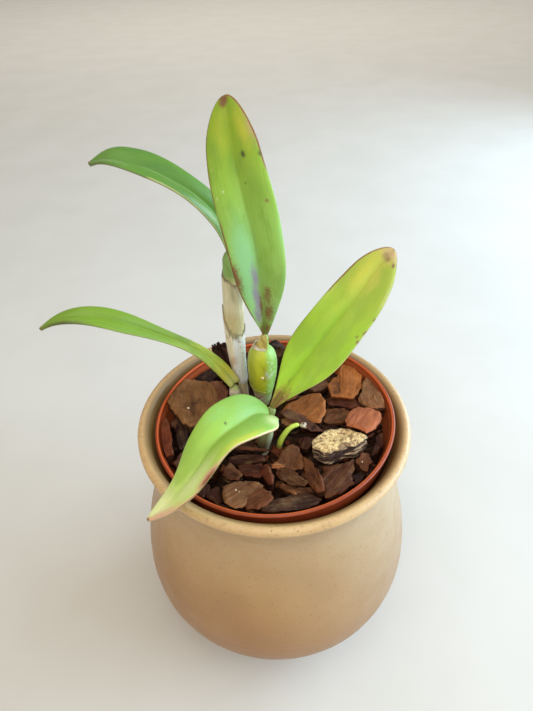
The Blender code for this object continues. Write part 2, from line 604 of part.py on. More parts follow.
def blade(name, stations, finish, parent):
    """A leathery leaf: two gently bulging halves folded up from the midrib, thin at the margins."""
    centres = np.array([s[0] for s in stations], float)
    widths = np.array([[s[1]] for s in stations], float)
    faces_to = np.array([s[2] for s in stations], float)
    folds = np.radians(np.array([[s[3]] for s in stations], float))
    knots = chord_places(centres)
    places = 1 - (1 - np.linspace(0, 1, BLADE_STATIONS)) ** BLADE_TIP_CROWDING
    line = natural_spline(knots, centres, places)
    half = natural_spline(knots, widths, places)[:, 0]
    face = natural_spline(knots, faces_to, places)
    fold = natural_spline(knots, folds, places)[:, 0]
    rounding = np.clip((places - (1 - BLADE_ROUND_TIP)) / BLADE_ROUND_TIP, 0, 1)
    half = np.maximum(half * np.sqrt(1 - rounding ** 2), BLADE_TIP_HALF_WIDTH)
    along = unit(np.gradient(line, axis=0))
    side = unit(np.cross(along, face))
    up = np.cross(side, along)
    columns = [c / BLADE_COLUMNS for c in range(-BLADE_COLUMNS, BLADE_COLUMNS + 1)]
    points = []
    for r in range(BLADE_STATIONS):
        rows = []
        for u in columns:
            rise = math.sin(fold[r]) * abs(u) + BLADE_BULGE * abs(u) * (1 - abs(u)) * 4
            across = math.cos(fold[r]) * u
            rows.append(line[r] + half[r] * (across * side[r] + rise * up[r]))
        thick = [BLADE_EDGE_THICK + (BLADE_MIDDLE_THICK - BLADE_EDGE_THICK) * (1 - u * u) for u in columns]
        points += [p + up[r] * t / 2 for p, t in zip(rows, thick)]
        points += [p - up[r] * t / 2 for p, t in zip(rows[::-1], thick[::-1])]
    return solid(name, points, blade_faces(BLADE_STATIONS, len(columns)), finish, parent)


def blade_faces(rings, across):
    """Triangles of a blade: upper and lower faces are split alike, then the two ends."""
    ring = 2 * across
    faces = []
    for r in range(rings - 1):
        here, there = r * ring, (r + 1) * ring
        for i in range(ring):
            j = (i + 1) % ring
            if i < across:
                faces += [(here + i, here + j, there + j), (here + i, there + j, there + i)]
            else:
                faces += [(here + i, here + j, there + i), (here + j, there + j, there + i)]
    for end, back in ((0, True), ((rings - 1) * ring, False)):
        for i in range(across - 1):
            quad = (end + i, end + i + 1, end + ring - 2 - i, end + ring - 1 - i)
            faces.append(quad if back else quad[::-1])
    return faces


def sheath(name, stations, sides, stretch, finish, parent, span=None):
    """A papery tube on a stem, or the part of one over a span of its sides, with a torn top edge."""
    start, stop, slant, flare = stretch
    first, last = span or (0, sides - 1)
    centres = np.array([s[0] for s in stations], float)
    radii = np.array([[s[1]] for s in stations], float)
    knots = chord_places(centres)
    points = []
    for off in (GAP, GAP + SHEATH_THICK):
        for r in range(SHEATH_RINGS):
            rise = r / (SHEATH_RINGS - 1)
            for i in range(first, last + 1):
                angle = 2 * math.pi * i / sides
                tear = 0.24 * math.sin(5 * i + 1) + 0.16 * math.sin(11 * i)
                top = stop + slant * (math.cos(angle - 0.6) + tear)
                place = np.array([start + (top - start) * rise])
                centre = natural_spline(knots, centres, place)[0]
                ahead = natural_spline(knots, centres, place + 0.01)[0]
                along = unit(ahead - centre)
                side = unit(np.cross(along, (0.0, 1.0, 0.15)))
                up = np.cross(side, along)
                girth = natural_spline(knots, radii, place)[0, 0] + off + flare * rise ** 2
                points.append(centre + girth * (math.cos(angle) * side + math.sin(angle) * up))
    faces = shell_faces(SHEATH_RINGS, last - first + 1, span is None)
    return solid(name, points, faces, finish, parent)


def shell_faces(rings, columns, closed):
    """Faces of an inner and an outer wall, joined at the bottom, at the top and at any free sides."""
    outer = rings * columns
    faces = []
    for i in range(columns if closed else columns - 1):
        j = (i + 1) % columns
        for r in range(rings - 1):
            low, high = r * columns, (r + 1) * columns
            faces.append((low + j, low + i, high + i, high + j))
            faces.append((outer + low + i, outer + low + j, outer + high + j, outer + high + i))
        last = (rings - 1) * columns
        faces.append((i, j, outer + j, outer + i))
        faces.append((last + j, last + i, outer + last + i, outer + last + j))
    if not closed:
        for i, turn in ((0, 1), (columns - 1, -1)):
            for r in range(rings - 1):
                low, high = r * columns + i, (r + 1) * columns + i
                faces.append((low, outer + low, outer + high, high)[::turn])
    return faces


def rhizome_and_roots(name, finish, parent, grow=0.0):
    """The creeping stem under the bark, and the roots that run down from it, as one grown piece."""
    body = limb(name, RHIZOME, 8, 9, finish, parent, grow)
    centres = np.array([s[0] for s in RHIZOME], float)
    knots = chord_places(centres)
    roots = []
    for i, (place, compass, reach, depth) in enumerate(ROOTS):
        start = natural_spline(knots, centres, np.array([place]))[0]
        out = np.array([math.cos(math.radians(compass)), math.sin(math.radians(compass)), 0.0])
        way = [start, start + out * reach * 0.35 - (0, 0, depth * 0.15)]
        way += [start + out * reach * 0.75 - (0, 0, depth * 0.5), start + out * reach - (0, 0, depth)]
        thin = (ROOT_RADIUS, ROOT_RADIUS, ROOT_RADIUS * 0.9, ROOT_RADIUS * 0.5)
        stations = [(tuple(p), r) for p, r in zip(way, thin)]
        roots.append(limb(f"{name}_root_{i}", stations, ROOT_SIDES, 7, finish, parent, grow))
    combine(body, roots, "UNION")
    return body


def toothed_chip(name, finish, parent, grow=0.0):
    """A dark chip that stands on end behind the cane, its upper edge frayed into blunt teeth."""
    foot = Vector(TOOTHED_FOOT)
    up = Vector(TOOTHED_UP).normalized()
    side = Vector(TOOTHED_SIDE).normalized()
    out = side.cross(up).normalized()
    top_line = []
    for i, (x, y) in enumerate(profile_curve(TOOTHED_TOP, TEETH - 1)):
        top_line.append((x, y + (TOOTH_RISE if i % 2 else -TOOTH_RISE) + grow))
    outline = [(x + grow, y - (grow if y == 0 else 0)) for x, y in TOOTHED_RIGHT_EDGE]
    outline += top_line[::-1]
    outline += [(x - grow, y - (grow if y == 0 else 0)) for x, y in TOOTHED_LEFT_EDGE]
    points = []
    for depth in (-TOOTHED_THICK / 2 - grow, TOOTHED_THICK / 2 + grow):
        points += [foot + side * x + up * y + out * depth for x, y in outline]
    return solid(name, points, ring_faces(2, len(outline)), finish, parent, smooth_angle=20)


def palette():
    return {
        "stoneware": material("stoneware", (0.45, 0.34, 0.21), 0.42),
        "orange_plastic": material("orange_plastic", (0.55, 0.13, 0.035), 0.38),
        "bark": material("bark", (0.12, 0.055, 0.03), 0.85),
        "pale_bark": material("pale_bark", (0.52, 0.42, 0.24), 0.8),
        "red_bark": material("red_bark", (0.33, 0.12, 0.07), 0.85),
        "dark_bark": material("dark_bark", (0.035, 0.015, 0.012), 0.9),
        "leaf_green": material("leaf_green", (0.30, 0.50, 0.06), 0.35),
        "old_leaf_green": material("old_leaf_green", (0.13, 0.36, 0.08), 0.35),
        "bulb_green": material("bulb_green", (0.27, 0.42, 0.05), 0.35),
        "papery": material("papery", (0.62, 0.53, 0.38), 0.75),
        "root": material("root", (0.55, 0.53, 0.42), 0.8),
    }


def stem_cutters(paint, plant):
    """Copies of what stands in the bark, fattened by the clearance, to hole the bed with."""
    grow = CUT_CLEARANCE
    root = paint["root"]
    return [
        limb("hole_cane", CANE, CANE_SIDES, 14, root, plant, grow),
        sheath_hole("hole_sheath", CANE, CANE_SIDES, CANE_SHEATH_LOWER, root, plant),
        sheath_hole("hole_bulb_sheath", GREEN_BULB, BULB_SIDES, BULB_SHEATH, root, plant),
        limb("hole_green", GREEN_BULB, BULB_SIDES, 14, root, plant, grow),
        limb("hole_front", FRONT_BULB, 12, 8, root, plant, grow),
        limb("hole_right", RIGHT_BULB, 12, 8, root, plant, grow),
        limb("hole_left", LEFT_BULB, 12, 7, root, plant, grow),
        limb("hole_shoot", NEW_SHOOT, 10, 12, root, plant, grow),
        rhizome_and_roots("hole_rhizome", root, plant, grow),
        toothed_chip("hole_toothed", root, plant, grow),
    ]


def sheath_hole(name, stations, sides, stretch, finish, parent):
    """The lowest part of a sheathed stem, as a plug a little fatter than the sheath."""
    start = stretch[0] - 0.01
    stop = min(stretch[1], start + 0.25)
    centres = np.array([s[0] for s in stations], float)
    radii = np.array([[s[1]] for s in stations], float)
    places = np.linspace(start, stop, 5)
    knots = chord_places(centres)
    line = natural_spline(knots, centres, places)
    girth = natural_spline(knots, radii, places)[:, 0] + GAP + SHEATH_THICK + CUT_CLEARANCE
    rows = [(tuple(p), float(r)) for p, r in zip(line, girth)]
    return limb(name, rows, sides, 8, finish, parent)


def plant_pieces(paint, plant):
    """Stems, sheaths, leaves, the new shoot, and the rhizome with its roots."""
    green, papery, leaf = paint["bulb_green"], paint["papery"], paint["leaf_green"]
    limb("cane", CANE, CANE_SIDES, 14, green, plant)
    sheath("cane_sheath_lower", CANE, CANE_SIDES, CANE_SHEATH_LOWER, papery, plant)
    sheath("cane_sheath_upper", CANE, CANE_SIDES, CANE_SHEATH_UPPER, papery, plant)
    limb("green_bulb", GREEN_BULB, BULB_SIDES, 22, green, plant)
    sheath("green_bulb_sheath", GREEN_BULB, BULB_SIDES, BULB_SHEATH, papery, plant)
    sheath("green_bulb_collar", GREEN_BULB, BULB_SIDES, BULB_COLLAR, papery, plant, COLLAR_SPAN)
    limb("front_bulb", FRONT_BULB, 12, 8, green, plant)
    limb("right_bulb", RIGHT_BULB, 12, 8, green, plant)
    limb("left_bulb", LEFT_BULB, 12, 7, papery, plant)
    limb("new_shoot", NEW_SHOOT, 10, 12, leaf, plant)
    limb("new_shoot_knob", SHOOT_KNOB, 8, 6, papery, plant)
    rhizome_and_roots("rhizome_and_roots", paint["root"], plant)
    blade("leaf_on_cane", CANE_LEAF, paint["old_leaf_green"], plant)
    blade("leaf_upright", UPRIGHT_LEAF, leaf, plant)
    blade("leaf_right", RIGHT_LEAF, leaf, plant)
    blade("leaf_left", LEFT_LEAF, leaf, plant)
    blade("leaf_front", FRONT_LEAF, leaf, plant)


def own_chip(name, row, thick, finish, parent, grow=0.0):
    """A chip that is a piece of its own."""
    return slab(name, row, row[0] - thick, finish, parent, grow)


def main():
    clear_scene()
    paint = palette()
    plant = empty("plant", (0, 0, RIM_HEIGHT))
    nursery = empty("nursery_frame", (0, 0, RIM_HEIGHT + NURSERY_LIP_ABOVE_RIM), (*NURSERY_LEAN, 0))
    cachepot(paint["stoneware"])
    nursery_pot(paint["orange_plastic"], nursery)
    plant_pieces(paint, plant)
    own_chip("bark_chip_pale", PALE_SLAB, PALE_THICK, paint["pale_bark"], nursery)
    own_chip("bark_chip_red", RED_SLAB, RED_THICK, paint["red_bark"], nursery)
    toothed_chip("bark_chip_toothed", paint["dark_bark"], plant)
    cutters = stem_cutters(paint, plant)
    cutters.append(own_chip("hole_pale", PALE_SLAB, PALE_THICK, paint["bark"], nursery, CUT_CLEARANCE))
    cutters.append(own_chip("hole_red", RED_SLAB, RED_THICK, paint["bark"], nursery, CUT_CLEARANCE))
    bark_bed(paint["bark"], nursery, cutters)


main()
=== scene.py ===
"""Looks of a potted cattleya orchid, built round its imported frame.

Lengths are in millimetres until a mesh is made. Points of the plant are given from the middle of the
stoneware pot's rim, and points of the bark from the middle of the grower's pot's lip, which leans.
"""

import math
import random

import bmesh
import bpy
import numpy as np
from mathutils import Euler, Matrix, Vector


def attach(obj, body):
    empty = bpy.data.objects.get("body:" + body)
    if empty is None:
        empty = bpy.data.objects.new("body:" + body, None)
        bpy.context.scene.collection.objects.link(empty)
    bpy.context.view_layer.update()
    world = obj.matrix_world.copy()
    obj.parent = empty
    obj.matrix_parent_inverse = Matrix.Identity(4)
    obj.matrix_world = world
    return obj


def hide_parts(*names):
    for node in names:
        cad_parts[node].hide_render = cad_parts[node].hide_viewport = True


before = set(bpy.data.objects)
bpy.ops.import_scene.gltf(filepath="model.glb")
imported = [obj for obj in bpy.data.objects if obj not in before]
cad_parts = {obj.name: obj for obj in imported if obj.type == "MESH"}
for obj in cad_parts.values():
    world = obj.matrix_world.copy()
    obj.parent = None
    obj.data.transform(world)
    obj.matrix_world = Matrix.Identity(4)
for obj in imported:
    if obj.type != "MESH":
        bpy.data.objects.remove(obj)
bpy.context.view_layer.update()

MM = 0.001
GAP = 0.3

# Stoneware pot
RIM_HEIGHT = 141.0
RIM_RADIUS = 67.6
LIP_ROUND = 2.4
NECK_RADIUS = 62.4
NECK_INNER_RADIUS = 57.4
BELLY_RADIUS = 74.6
FOOT_RADIUS = 36.5
FLOOR_THICK = 8.0
POT_SIDES = 192

# Grower's pot
NURSERY_LIP_RADIUS = 59.0
NURSERY_LIP_ABOVE_RIM = 3.0
NURSERY_HEIGHT = 104.0
NURSERY_BASE_RADIUS = 42.0
NURSERY_WALL = 1.2
NURSERY_WALL_END = 96
NURSERY_LIP_ROLL = 0.9
COLLAR_DEPTH = 10.0
COLLAR_STEP = 2.2
COLLAR_INSET = 0.8
COLLAR_DRAFT = 0.3
NURSERY_LEAN = (math.radians(0.35), math.radians(-2.8))
DRAIN_HOLES = 8
DRAIN_RADIUS = 4.0
DRAIN_RING_RADIUS = 32.0
DRAIN_SIDES = 28
NURSERY_SIDES = 160

# Bark: its level under the lip, and the rule that gives each chip its corners
BARK_BELOW_LIP = 9.0
BARK_HEAP = 5.0
BED_SINK = 3.2
BARK_SEED = 11
CHIP_CORNERS = 6
CHIP_LAYERS = ((-0.8, 0.9), (0.5, 0.86))
CHIP_SQUARENESS = 0.6
CHIP_EDGE_POWER = 40
SMALL_CHIPS = 21
SMALL_CHIP_REACH = 53.0
GOLDEN_ANGLE = math.radians(137.5)
CRUMBS = 260
CRUMB_REACH = 54

# Spacing of the points on each sort of chip, and the first seed of each sort
SLAB_GRID = 0.62
FLAKE_GRID = 0.5
OWN_CHIP_GRID = 0.4
PLACED_GRID = 0.9
SMALL_GRID = 1.1
STANDING_GRID = 0.7
CRUMB_GRID = 1.3
FLAKE_SEED = 40
STANDING_SEED = 59
PLACED_SEED = 60
SMALL_SEED = 80
CRUMB_SEED = 100
CRUMB_RELIEF = 0.35
LEFT_SLABS = 13
CHIP_SHARP = 40
GRAIN_SHIFT = 13.7

# Leaves
BLADE_MIDDLE_THICK = 1.9
BLADE_EDGE_THICK = 0.9
BLADE_BULGE = 0.10
BLADE_GROOVE = 0.28
BLADE_GROOVE_HALF_WIDTH = 0.7
BLADE_KEEL = 0.45
BLADE_KEEL_HALF_WIDTH = 1.1
BLADE_ROUND_TIP = 0.16
BLADE_TIP_HALF_WIDTH = 0.5
BLADE_TIP_CROWDING = 1.25
BLADE_STATIONS = 130
BLADE_COLUMNS = 19

# Camera: place from the rim's middle, and turn in degrees
CAMERA_BACK = 190.8
CAMERA_ABOVE_RIM = 197.2
CAMERA_DOWN = 39.35
CAMERA_YAW = -0.83
CAMERA_ROLL = -1.68
FOCAL_PIXELS = 540
FRAME_HEIGHT_PIXELS = 711
SENSOR_MM = 36.0

# Lights: name, place and aim in metres, size, power, colour
MIDDLE = (0, 0, 0.15)
LIGHTS = (
    ("window", (1.05, -0.1, 0.5), MIDDLE, 1.0, 15.0, (0.56, 0.78, 1.0)),
    ("window_far_end", (0.9, 0.62, 0.45), MIDDLE, 0.6, 9.0, (0.56, 0.78, 1.0)),
    ("ceiling", (0.0, -0.2, 1.3), MIDDLE, 1.4, 6.0, (1.0, 0.94, 0.84)),
    ("fill", (-0.1, -0.9, 1.0), MIDDLE, 0.8, 5.0, (1.0, 0.92, 0.80)),
    ("far", (0.0, 2.4, 2.0), (0.0, 4.0, 0.0), 3.0, 36.0, (1.0, 0.97, 0.92)),
)
FLOOR_HALF = 9000

# A leaf's stations from its base to its tip: point, half width, the way its face looks, fold in degrees
CANE_LEAF = (
    ((-18.4, 21.5, 83.1), 2.6, (0.66, -0.70, 0.05), 38),
    ((-21.3, 21, 96), 5.6, (0.76, -0.57, 0.28), 26),
    ((-30, 20, 108), 7.2, (0.66, -0.38, 0.63), 20),
    ((-41.5, 19, 117), 8.6, (0.50, -0.20, 0.84), 18),
    ((-54, 18, 123), 9.2, (0.34, -0.10, 0.93), 15),
    ((-62.5, 18, 125), 7.2, (0.10, -0.11, 0.99), 12),
    ((-69.5, 18, 123.5), 4.0, (-0.08, -0.12, 0.99), 10),
)
UPRIGHT_LEAF = (
    ((-3.7, 16, 41.6), 1.7, (0.20, -0.97, -0.05), 48),
    ((-3.7, 15, 52), 5.3, (0.14, -0.98, -0.10), 36),
    ((-4.7, 12, 74), 11.1, (0.14, -0.98, -0.10), 22),
    ((-7, 9.5, 96), 12.1, (0.16, -0.98, -0.08), 15),
    ((-10.2, 8.5, 114), 11.8, (0.10, -0.99, -0.02), 12),
    ((-12.4, 8.5, 129), 10.4, (-0.12, -0.99, 0.05), 9),
    ((-14, 10.5, 149), 8.3, (-0.42, -0.89, 0.15), 5),
)
RIGHT_LEAF = (
    ((-0.8, -6.5, 14.15), 1.8, (-0.22, -0.92, 0.36), 46),
    ((4, -3.5, 20), 4.6, (-0.10, -0.91, 0.41), 32),
    ((14, 2.5, 32), 11.7, (-0.01, -0.92, 0.39), 18),
    ((28, 9.5, 49.5), 14.2, (0.06, -0.94, 0.34), 13),
    ((39, 15, 62.5), 12.9, (0.10, -0.94, 0.32), 10),
    ((47, 19, 73.5), 10.1, (0.09, -0.95, 0.29), 8),
    ((54.2, 22, 81.8), 7.5, (0.09, -0.95, 0.30), 5),
)
LEFT_LEAF = (
    ((-20.2, 17.3, 8.6), 3.3, (0.42, -0.90, 0.12), 14),
    ((-26, 16, 19.5), 3.7, (0.55, -0.78, 0.28), 14),
    ((-35.5, 14, 32), 3.4, (0.62, -0.56, 0.54), 22),
    ((-50.5, 11, 44), 3.7, (0.58, -0.41, 0.70), 21),
    ((-68.5, 6.5, 56), 5.6, (0.45, -0.34, 0.80), 15),
    ((-82, 3.5, 61.8), 5.0, (0.18, -0.28, 0.94), 12),
    ((-94, 2, 61.2), 3.7, (-0.18, -0.20, 0.95), 8),
    ((-102, 1, 57.5), 2.7, (-0.40, -0.15, 0.89), 5),
)
FRONT_LEAF = (
    ((-2.6, -15, 17), 6.0, (0.45, 0.15, 0.88), 20),
    ((-8, -19.4, 21.8), 11.3, (0.44, 0.14, 0.88), 20),
    ((-13.4, -26.1, 24.5), 13.5, (0.34, 0.14, 0.92), 20),
    ((-19.8, -36, 28), 13.2, (0.11, 0.12, 0.98), 19),
    ((-25, -43.5, 28.5), 11.4, (-0.18, 0.0, 0.98), 18),
    ((-29.5, -50, 26), 10.4, (-0.42, -0.22, 0.88), 14),
    ((-35.5, -55.5, 20), 7.9, (-0.54, -0.32, 0.77), 10),
    ((-44, -59.5, 12), 4.6, (-0.52, -0.30, 0.80), 8),
    ((-52, -63.5, 7.5), 3.0, (-0.40, -0.32, 0.86), 5),
)

# Stems: centre points and radii
CANE = (
    ((-15.6, 24, -9.6), 2.3), ((-16.3, 23.7, 3), 2.6), ((-17.6, 23, 16), 3.4), ((-18.4, 22.5, 34), 4.1),
    ((-18, 22, 54), 4.3), ((-17.7, 21.6, 70), 4.1), ((-18.2, 21.5, 82.5), 3.2),
)
GREEN_BULB = (
    ((-5.6, 18.2, -9.6), 3.0), ((-5.4, 18, 0), 4.3), ((-5.4, 17.5, 9), 6.2), ((-5.3, 17, 18.5), 7.5),
    ((-5.2, 16.7, 26), 7.2), ((-5.2, 16.5, 29.5), 6.3), ((-5.1, 16.4, 31.6), 5.0), ((-4.8, 16.3, 33.4), 3.6),
    ((-4.4, 16.2, 35.5), 2.7), ((-3.9, 16.1, 38.5), 2.1), ((-3.7, 16, 41), 1.8),
)
FRONT_BULB = (
    ((-5.8, -13.6, -9.8), 2.4), ((-5.3, -13.5, -3), 3.2), ((-4.2, -13.8, 5), 3.9),
    ((-2.7, -14.8, 15.9), 2.1),
)
RIGHT_BULB = (
    ((-4.8, -3.2, -9.6), 2.4), ((-4.4, -3.8, 0), 3.1), ((-2.4, -5, 7.5), 2.8), ((-0.6, -6.2, 13.2), 2.0),
)
LEFT_BULB = (
    ((-16.6, 18.9, -10.5), 2.0), ((-18.4, 17.2, -4.5), 2.7), ((-20, 16.6, 0), 3.0), ((-20, 17, 7.2), 2.6),
)
NEW_SHOOT = (
    ((-0.3, -14, -12), 1.3), ((1.7, -14, -9), 1.4), ((2.6, -13.9, -4), 1.4), ((5.2, -12.3, 1.6), 1.3),
    ((8.8, -10.4, 4.4), 1.2), ((12.2, -9.1, 4.4), 1.1),
)

# The dry knob at the shoot's end: its middle, and the place, radius and colour of each lump from there
SHOOT_KNOB = (14.2, -8.8, 3.2)
KNOB_LUMPS = (
    ((0, 0, 0), 1.25, (206, 188, 156)), ((-0.9, -0.3, 0.5), 0.9, (190, 176, 140)),
    ((0.8, 0.5, 0.5), 0.85, (226, 212, 184)), ((0.9, -0.7, -0.4), 0.8, (150, 120, 92)),
    ((-0.3, 0.9, 0.2), 0.8, (178, 150, 120)), ((0.2, -0.9, 0.6), 0.7, (232, 222, 200)),
    ((0.1, 0.1, 1.0), 0.6, (96, 66, 54)),
)

# Sheaths on the stems: first and last share of the stem's length, slant of the torn edge, flare
CANE_SHEATH_LOWER = (0.13, 0.60, 0.07, 0.35)
CANE_SHEATH_UPPER = (0.48, 0.86, 0.03, 0.0)
BULB_SHEATH = (0.10, 0.36, 0.05, 0.0)
BULB_COLLAR = (0.812, 0.848, 0.012, 0.6)

# The torn collar: the part of the way round that it covers, in sixteenths of a turn, and its tilt
COLLAR_SPAN = (11.2, 20)
COLLAR_TILT = 0.035

# Chips that show one by one: level of the first one's foot, how much lower each next one stands, and
# the foot's size as a share of the top face's
SLAB_FOOT = -13.7
SLAB_FOOT_STEP = 0.13
SLAB_FOOT_SHARE = 0.95

# Each chip: bark and tone, level of the top face's middle from the lip, its rise towards +X and +Y,
# and the corners of the face
SLABS = (
    ("olive", 1.05, 0.8, -0.10, -0.03, ((-59, 17), (-55.5, 25), (-48, 29.5), (-39, 29), (-32, 26), (-29, 18),
     (-30, 6), (-36, -5), (-42, -6.5), (-47, -1), (-54, 8))),
    ("plum", 1.2, -1.5, 0, 0.1, ((-41, 26), (-34, 29.5), (-28, 28.5), (-25, 24.5), (-24.5, 18.5),
     (-25, 12.5), (-31, 11), (-37, 16.5))),
    ("umber", 0.68, -2.5, 0, 0.15, ((-46.5, 30), (-43, 35), (-37.5, 40.5), (-31, 41), (-29, 36),
     (-37.5, 29.5))),
    ("rust", 0.9, -0.4, 0.2, 0, ((-57.5, 1), (-55, 3.5), (-52, -4.5), (-48, -22), (-51.5, -24.5),
     (-57, -12))),
    ("umber", 0.68, -2.5, 0, 0, ((-51.5, 7), (-48, 5), (-43, -3.5), (-42, -13.5), (-46, -18), (-49.5, -7))),
    ("umber", 1, -2.5, 0, 0, ((-48.5, -25.5), (-46, -20), (-42, -15), (-37.5, -22), (-40, -31.5),
     (-43, -34))),
    ("umber", 1.1, -4.5, 0, 0, ((-32, -44), (-30, -39.5), (-26, -38.5), (-24, -45), (-25.5, -49))),
    ("grey", 0.88, -2.4, 0, -0.08, ((-24, -40.5), (-18.5, -37), (-11.5, -37), (-4.5, -40), (-8.5, -46.5),
     (-13.5, -52), (-17.5, -52.5), (-22.5, -49.5))),
    ("brown", 0.9, -1.8, 0.05, -0.1, ((-13.5, -49.5), (-11.5, -45.5), (-6, -42), (-2, -43.5), (-1, -48.5),
     (-3.5, -52), (-8.5, -54.5), (-13, -53.5))),
    ("brown", 0.77, -2.6, 0, 0, ((-25, -29.5), (-21, -27), (-17.5, -30), (-15, -34), (-16.5, -37),
     (-21.5, -36.5), (-24.5, -34))),
    ("rust", 0.55, -4, 0, 0, ((-22, -22.5), (-13.5, -21), (-4, -23), (-3.5, -26), (-12, -27), (-22, -26))),
    ("rust", 0.76, -3, 0, 0, ((-18.5, -28), (-6, -27.5), (-4.5, -33), (-7, -36), (-14, -35), (-17, -30.5))),
    ("rust", 0.8, -2.2, 0.3, 0, ((-6, -29), (-3.5, -29), (-0.5, -35.5), (-1, -41), (-3.5, -40.5),
     (-6, -34))),
    ("orange", 0.78, -2.5, 0.03, -0.12, ((3, 4.5), (7, 11), (15, 16), (24.5, 19), (27, 11), (26, 1),
     (23, -6.5), (17.5, -5), (13.5, -1), (6.5, 0))),
    ("orange", 0.88, -2.2, 0, -0.06, ((28.5, 22), (34.5, 30), (38.5, 39.5), (43.5, 38), (48.5, 28.5),
     (45.5, 15), (41.5, 10), (33, 12.5), (30, 13))),
    ("grey", 0.86, -1.2, 0.05, 0, ((43.5, 8.5), (46.5, 20), (50, 26), (54, 20), (57, 9), (56, 1.5), (50, 2),
     (46, 4))),
    ("umber", 1.5, -5, 0, 0, ((28, 15), (33, 15.5), (43.5, 12), (45.5, 7.5), (40, 6.5), (35.5, 9),
     (28.5, 10))),
    ("tan", 0.86, -5.4, 0, 0, ((27, 8), (36.5, 8), (39, 4), (35.5, -0.5), (29, -2.5), (24.5, -1.5),
     (26.5, 3.5))),
    ("brown", 0.67, -4, 0, -0.12, ((21, -30), (29, -29), (37, -26.5), (37, -31.5), (34, -37.5), (35, -41.5),
     (29.5, -46.5), (21.5, -49), (20, -41), (21, -35))),
    ("brown", 0.79, -2, 0.3, 0, ((13.5, -25), (17, -29), (20.5, -38), (21.5, -46.5), (18, -47), (15, -41.5),
     (13, -34.5), (12.5, -28.5))),
    ("brown", 0.81, -3.5, 0, 0, ((41, -23), (43.5, -24.5), (44.5, -30), (41.5, -35.5), (38.5, -33),
     (38, -28))),
    ("umber", 1.05, -4, 0, 0, ((49, -12.5), (53, -12), (51.5, -19), (48, -25), (45, -27), (45.5, -23.5),
     (48, -18))),
    ("umber", 0.7, -4.5, 0, 0, ((34, -37), (38.5, -33.5), (41, -35.5), (38.5, -39), (35.5, -41))),
    ("plum", 0.66, -2.5, 0, -0.1, ((-6.5, -50.5), (-1.5, -48.5), (4, -47), (10, -46), (16, -45.5),
     (20.5, -49.5), (17, -52.5), (11, -54.5), (0, -55.5), (-6, -54.5))),
    ("tan", 0.78, -3, 0, 0, ((-0.5, -30.5), (3, -21), (7.5, -17.5), (11.5, -18.5), (13, -25), (13.5, -32),
     (8, -32.5), (3, -31.5))),
    ("tan", 0.65, -2.5, 0.1, -0.1, ((0, -30.5), (4, -30.5), (10.5, -35), (15, -41), (13.5, -43), (5.5, -41),
     (0.5, -35.5))),
    ("tan", 0.7, -3.6, 0, 0, ((0, -40), (7.5, -41), (16.5, -42.5), (17, -44.5), (10, -45), (5, -44))),
    ("rust", 0.54, -5, 0, 0, ((11, -12), (17, -11.5), (18.5, -16), (15, -19), (11.5, -18))),
)
PALE_SLAB = (
    "gold", 1, 0.4, -0.02, -0.14, ((17, -19), (20.5, -14.5), (27, -10.5), (33.5, -9.5), (40, -12.5),
     (44.5, -18), (41, -22), (33.5, -25), (26, -28.5), (21.5, -28.5), (18.5, -24)),
)
PALE_THICK = 9.0
RED_SLAB = (
    "red", 1, -0.8, -0.02, -0.14, ((35, -5), (38, 2), (42.5, 5), (49.5, 3), (53.5, -0.5), (53.5, -5.5),
     (49, -12), (44, -17), (40.5, -12), (35.5, -9.5)),
)
RED_THICK = 5.0

# Chips that mostly lie behind the plant: x, y, lift, length, width, thickness, turn, two tilts, and bark
PLACED_CHIPS = (
    (5, 50, 2, 17, 12, 7, 20, 12, 10, "brown"), (24, 45, 1, 17, 12, 6, 50, 0, 8, "orange"),
    (-16, 48, 1, 17, 12, 6, 80, 6, 0, "umber"), (-34, 4, -1, 18, 13, 6, 20, 6, 0, "brown"),
    (-29, -10, 0, 20, 14, 6, 70, -6, 0, "umber"), (-15, -16, 0, 17, 8, 6, -5, 0, 0, "umber"),
    (-33, -26, 0, 17, 13, 6, 120, 0, 0, "brown"), (-37, -37, 0, 12, 9, 6, 130, 0, 0, "umber"),
    (-22, -52, 0, 10, 6, 6, 160, 0, 0, "umber"), (44, -36, 0, 10, 7, 6, 130, 0, 0, "umber"),
    (10, 31, 1, 19, 13, 6, 120, 0, -6, "rust"), (24, 26, 0, 15, 11, 6, 30, 8, 0, "dusk"),
    (27, -5, -2, 12, 8, 6, 150, 0, 0, "umber"), (-9, 34, 0, 12, 8, 6, 60, 0, 6, "umber"),
    (9, 18, 0, 10, 8, 6, 20, 0, 0, "brown"),
)

# The long chip that stands on end behind the green bulb, in the same way
STANDING_CHIP = (-3, 33, 13.6, 34, 20, 5, 90, 18, -80, "dusk")

# Pale grains that lie on the chips: colour, and the place and radius of each
GRAIN_COLOUR = (240, 226, 194)
GRAINS = (
    ((-43.7, 6.3, 0.9), 0.5), ((-17.6, -43.6, -2.1), 0.4), ((-16.0, -44.6, -2.1), 0.25),
    ((40.0, -30.5, -3.2), 0.3),
)

# Thin flakes that lie on the chips: a row like one of SLABS, and the thickness
FLAKES = (
    (("plum", 0.95, -0.6, -0.03, 0.02, ((2.5, 2), (6.5, 4.5), (13, 0.5), (20.5, -7), (24.5, -12),
     (18.5, -12), (12, -7), (7, -3.5))), 1.1),
    (("grey", 0.9, -1.6, 0, 0, ((3, -1), (7, -0.5), (11.5, -4), (11, -7), (5, -6))), 1.2),
    (("rust", 0.8, -2.6, 0, 0, ((-17, -17), (-8, -18.5), (-2, -20.5), (-9, -20.5), (-17, -19))), 1.2),
    (("tan", 1.15, -2.0, 0, 0, ((-1.5, -29.5), (1, -28), (4, -29), (5.5, -31), (2.5, -32.5), (-1, -31.5))),
     1.2),
    (("tan", 0.95, -3.4, 0, 0, ((0, -37.5), (2, -37.5), (7, -43), (10, -46), (8, -46.5), (3, -41.5))), 1.0),
)

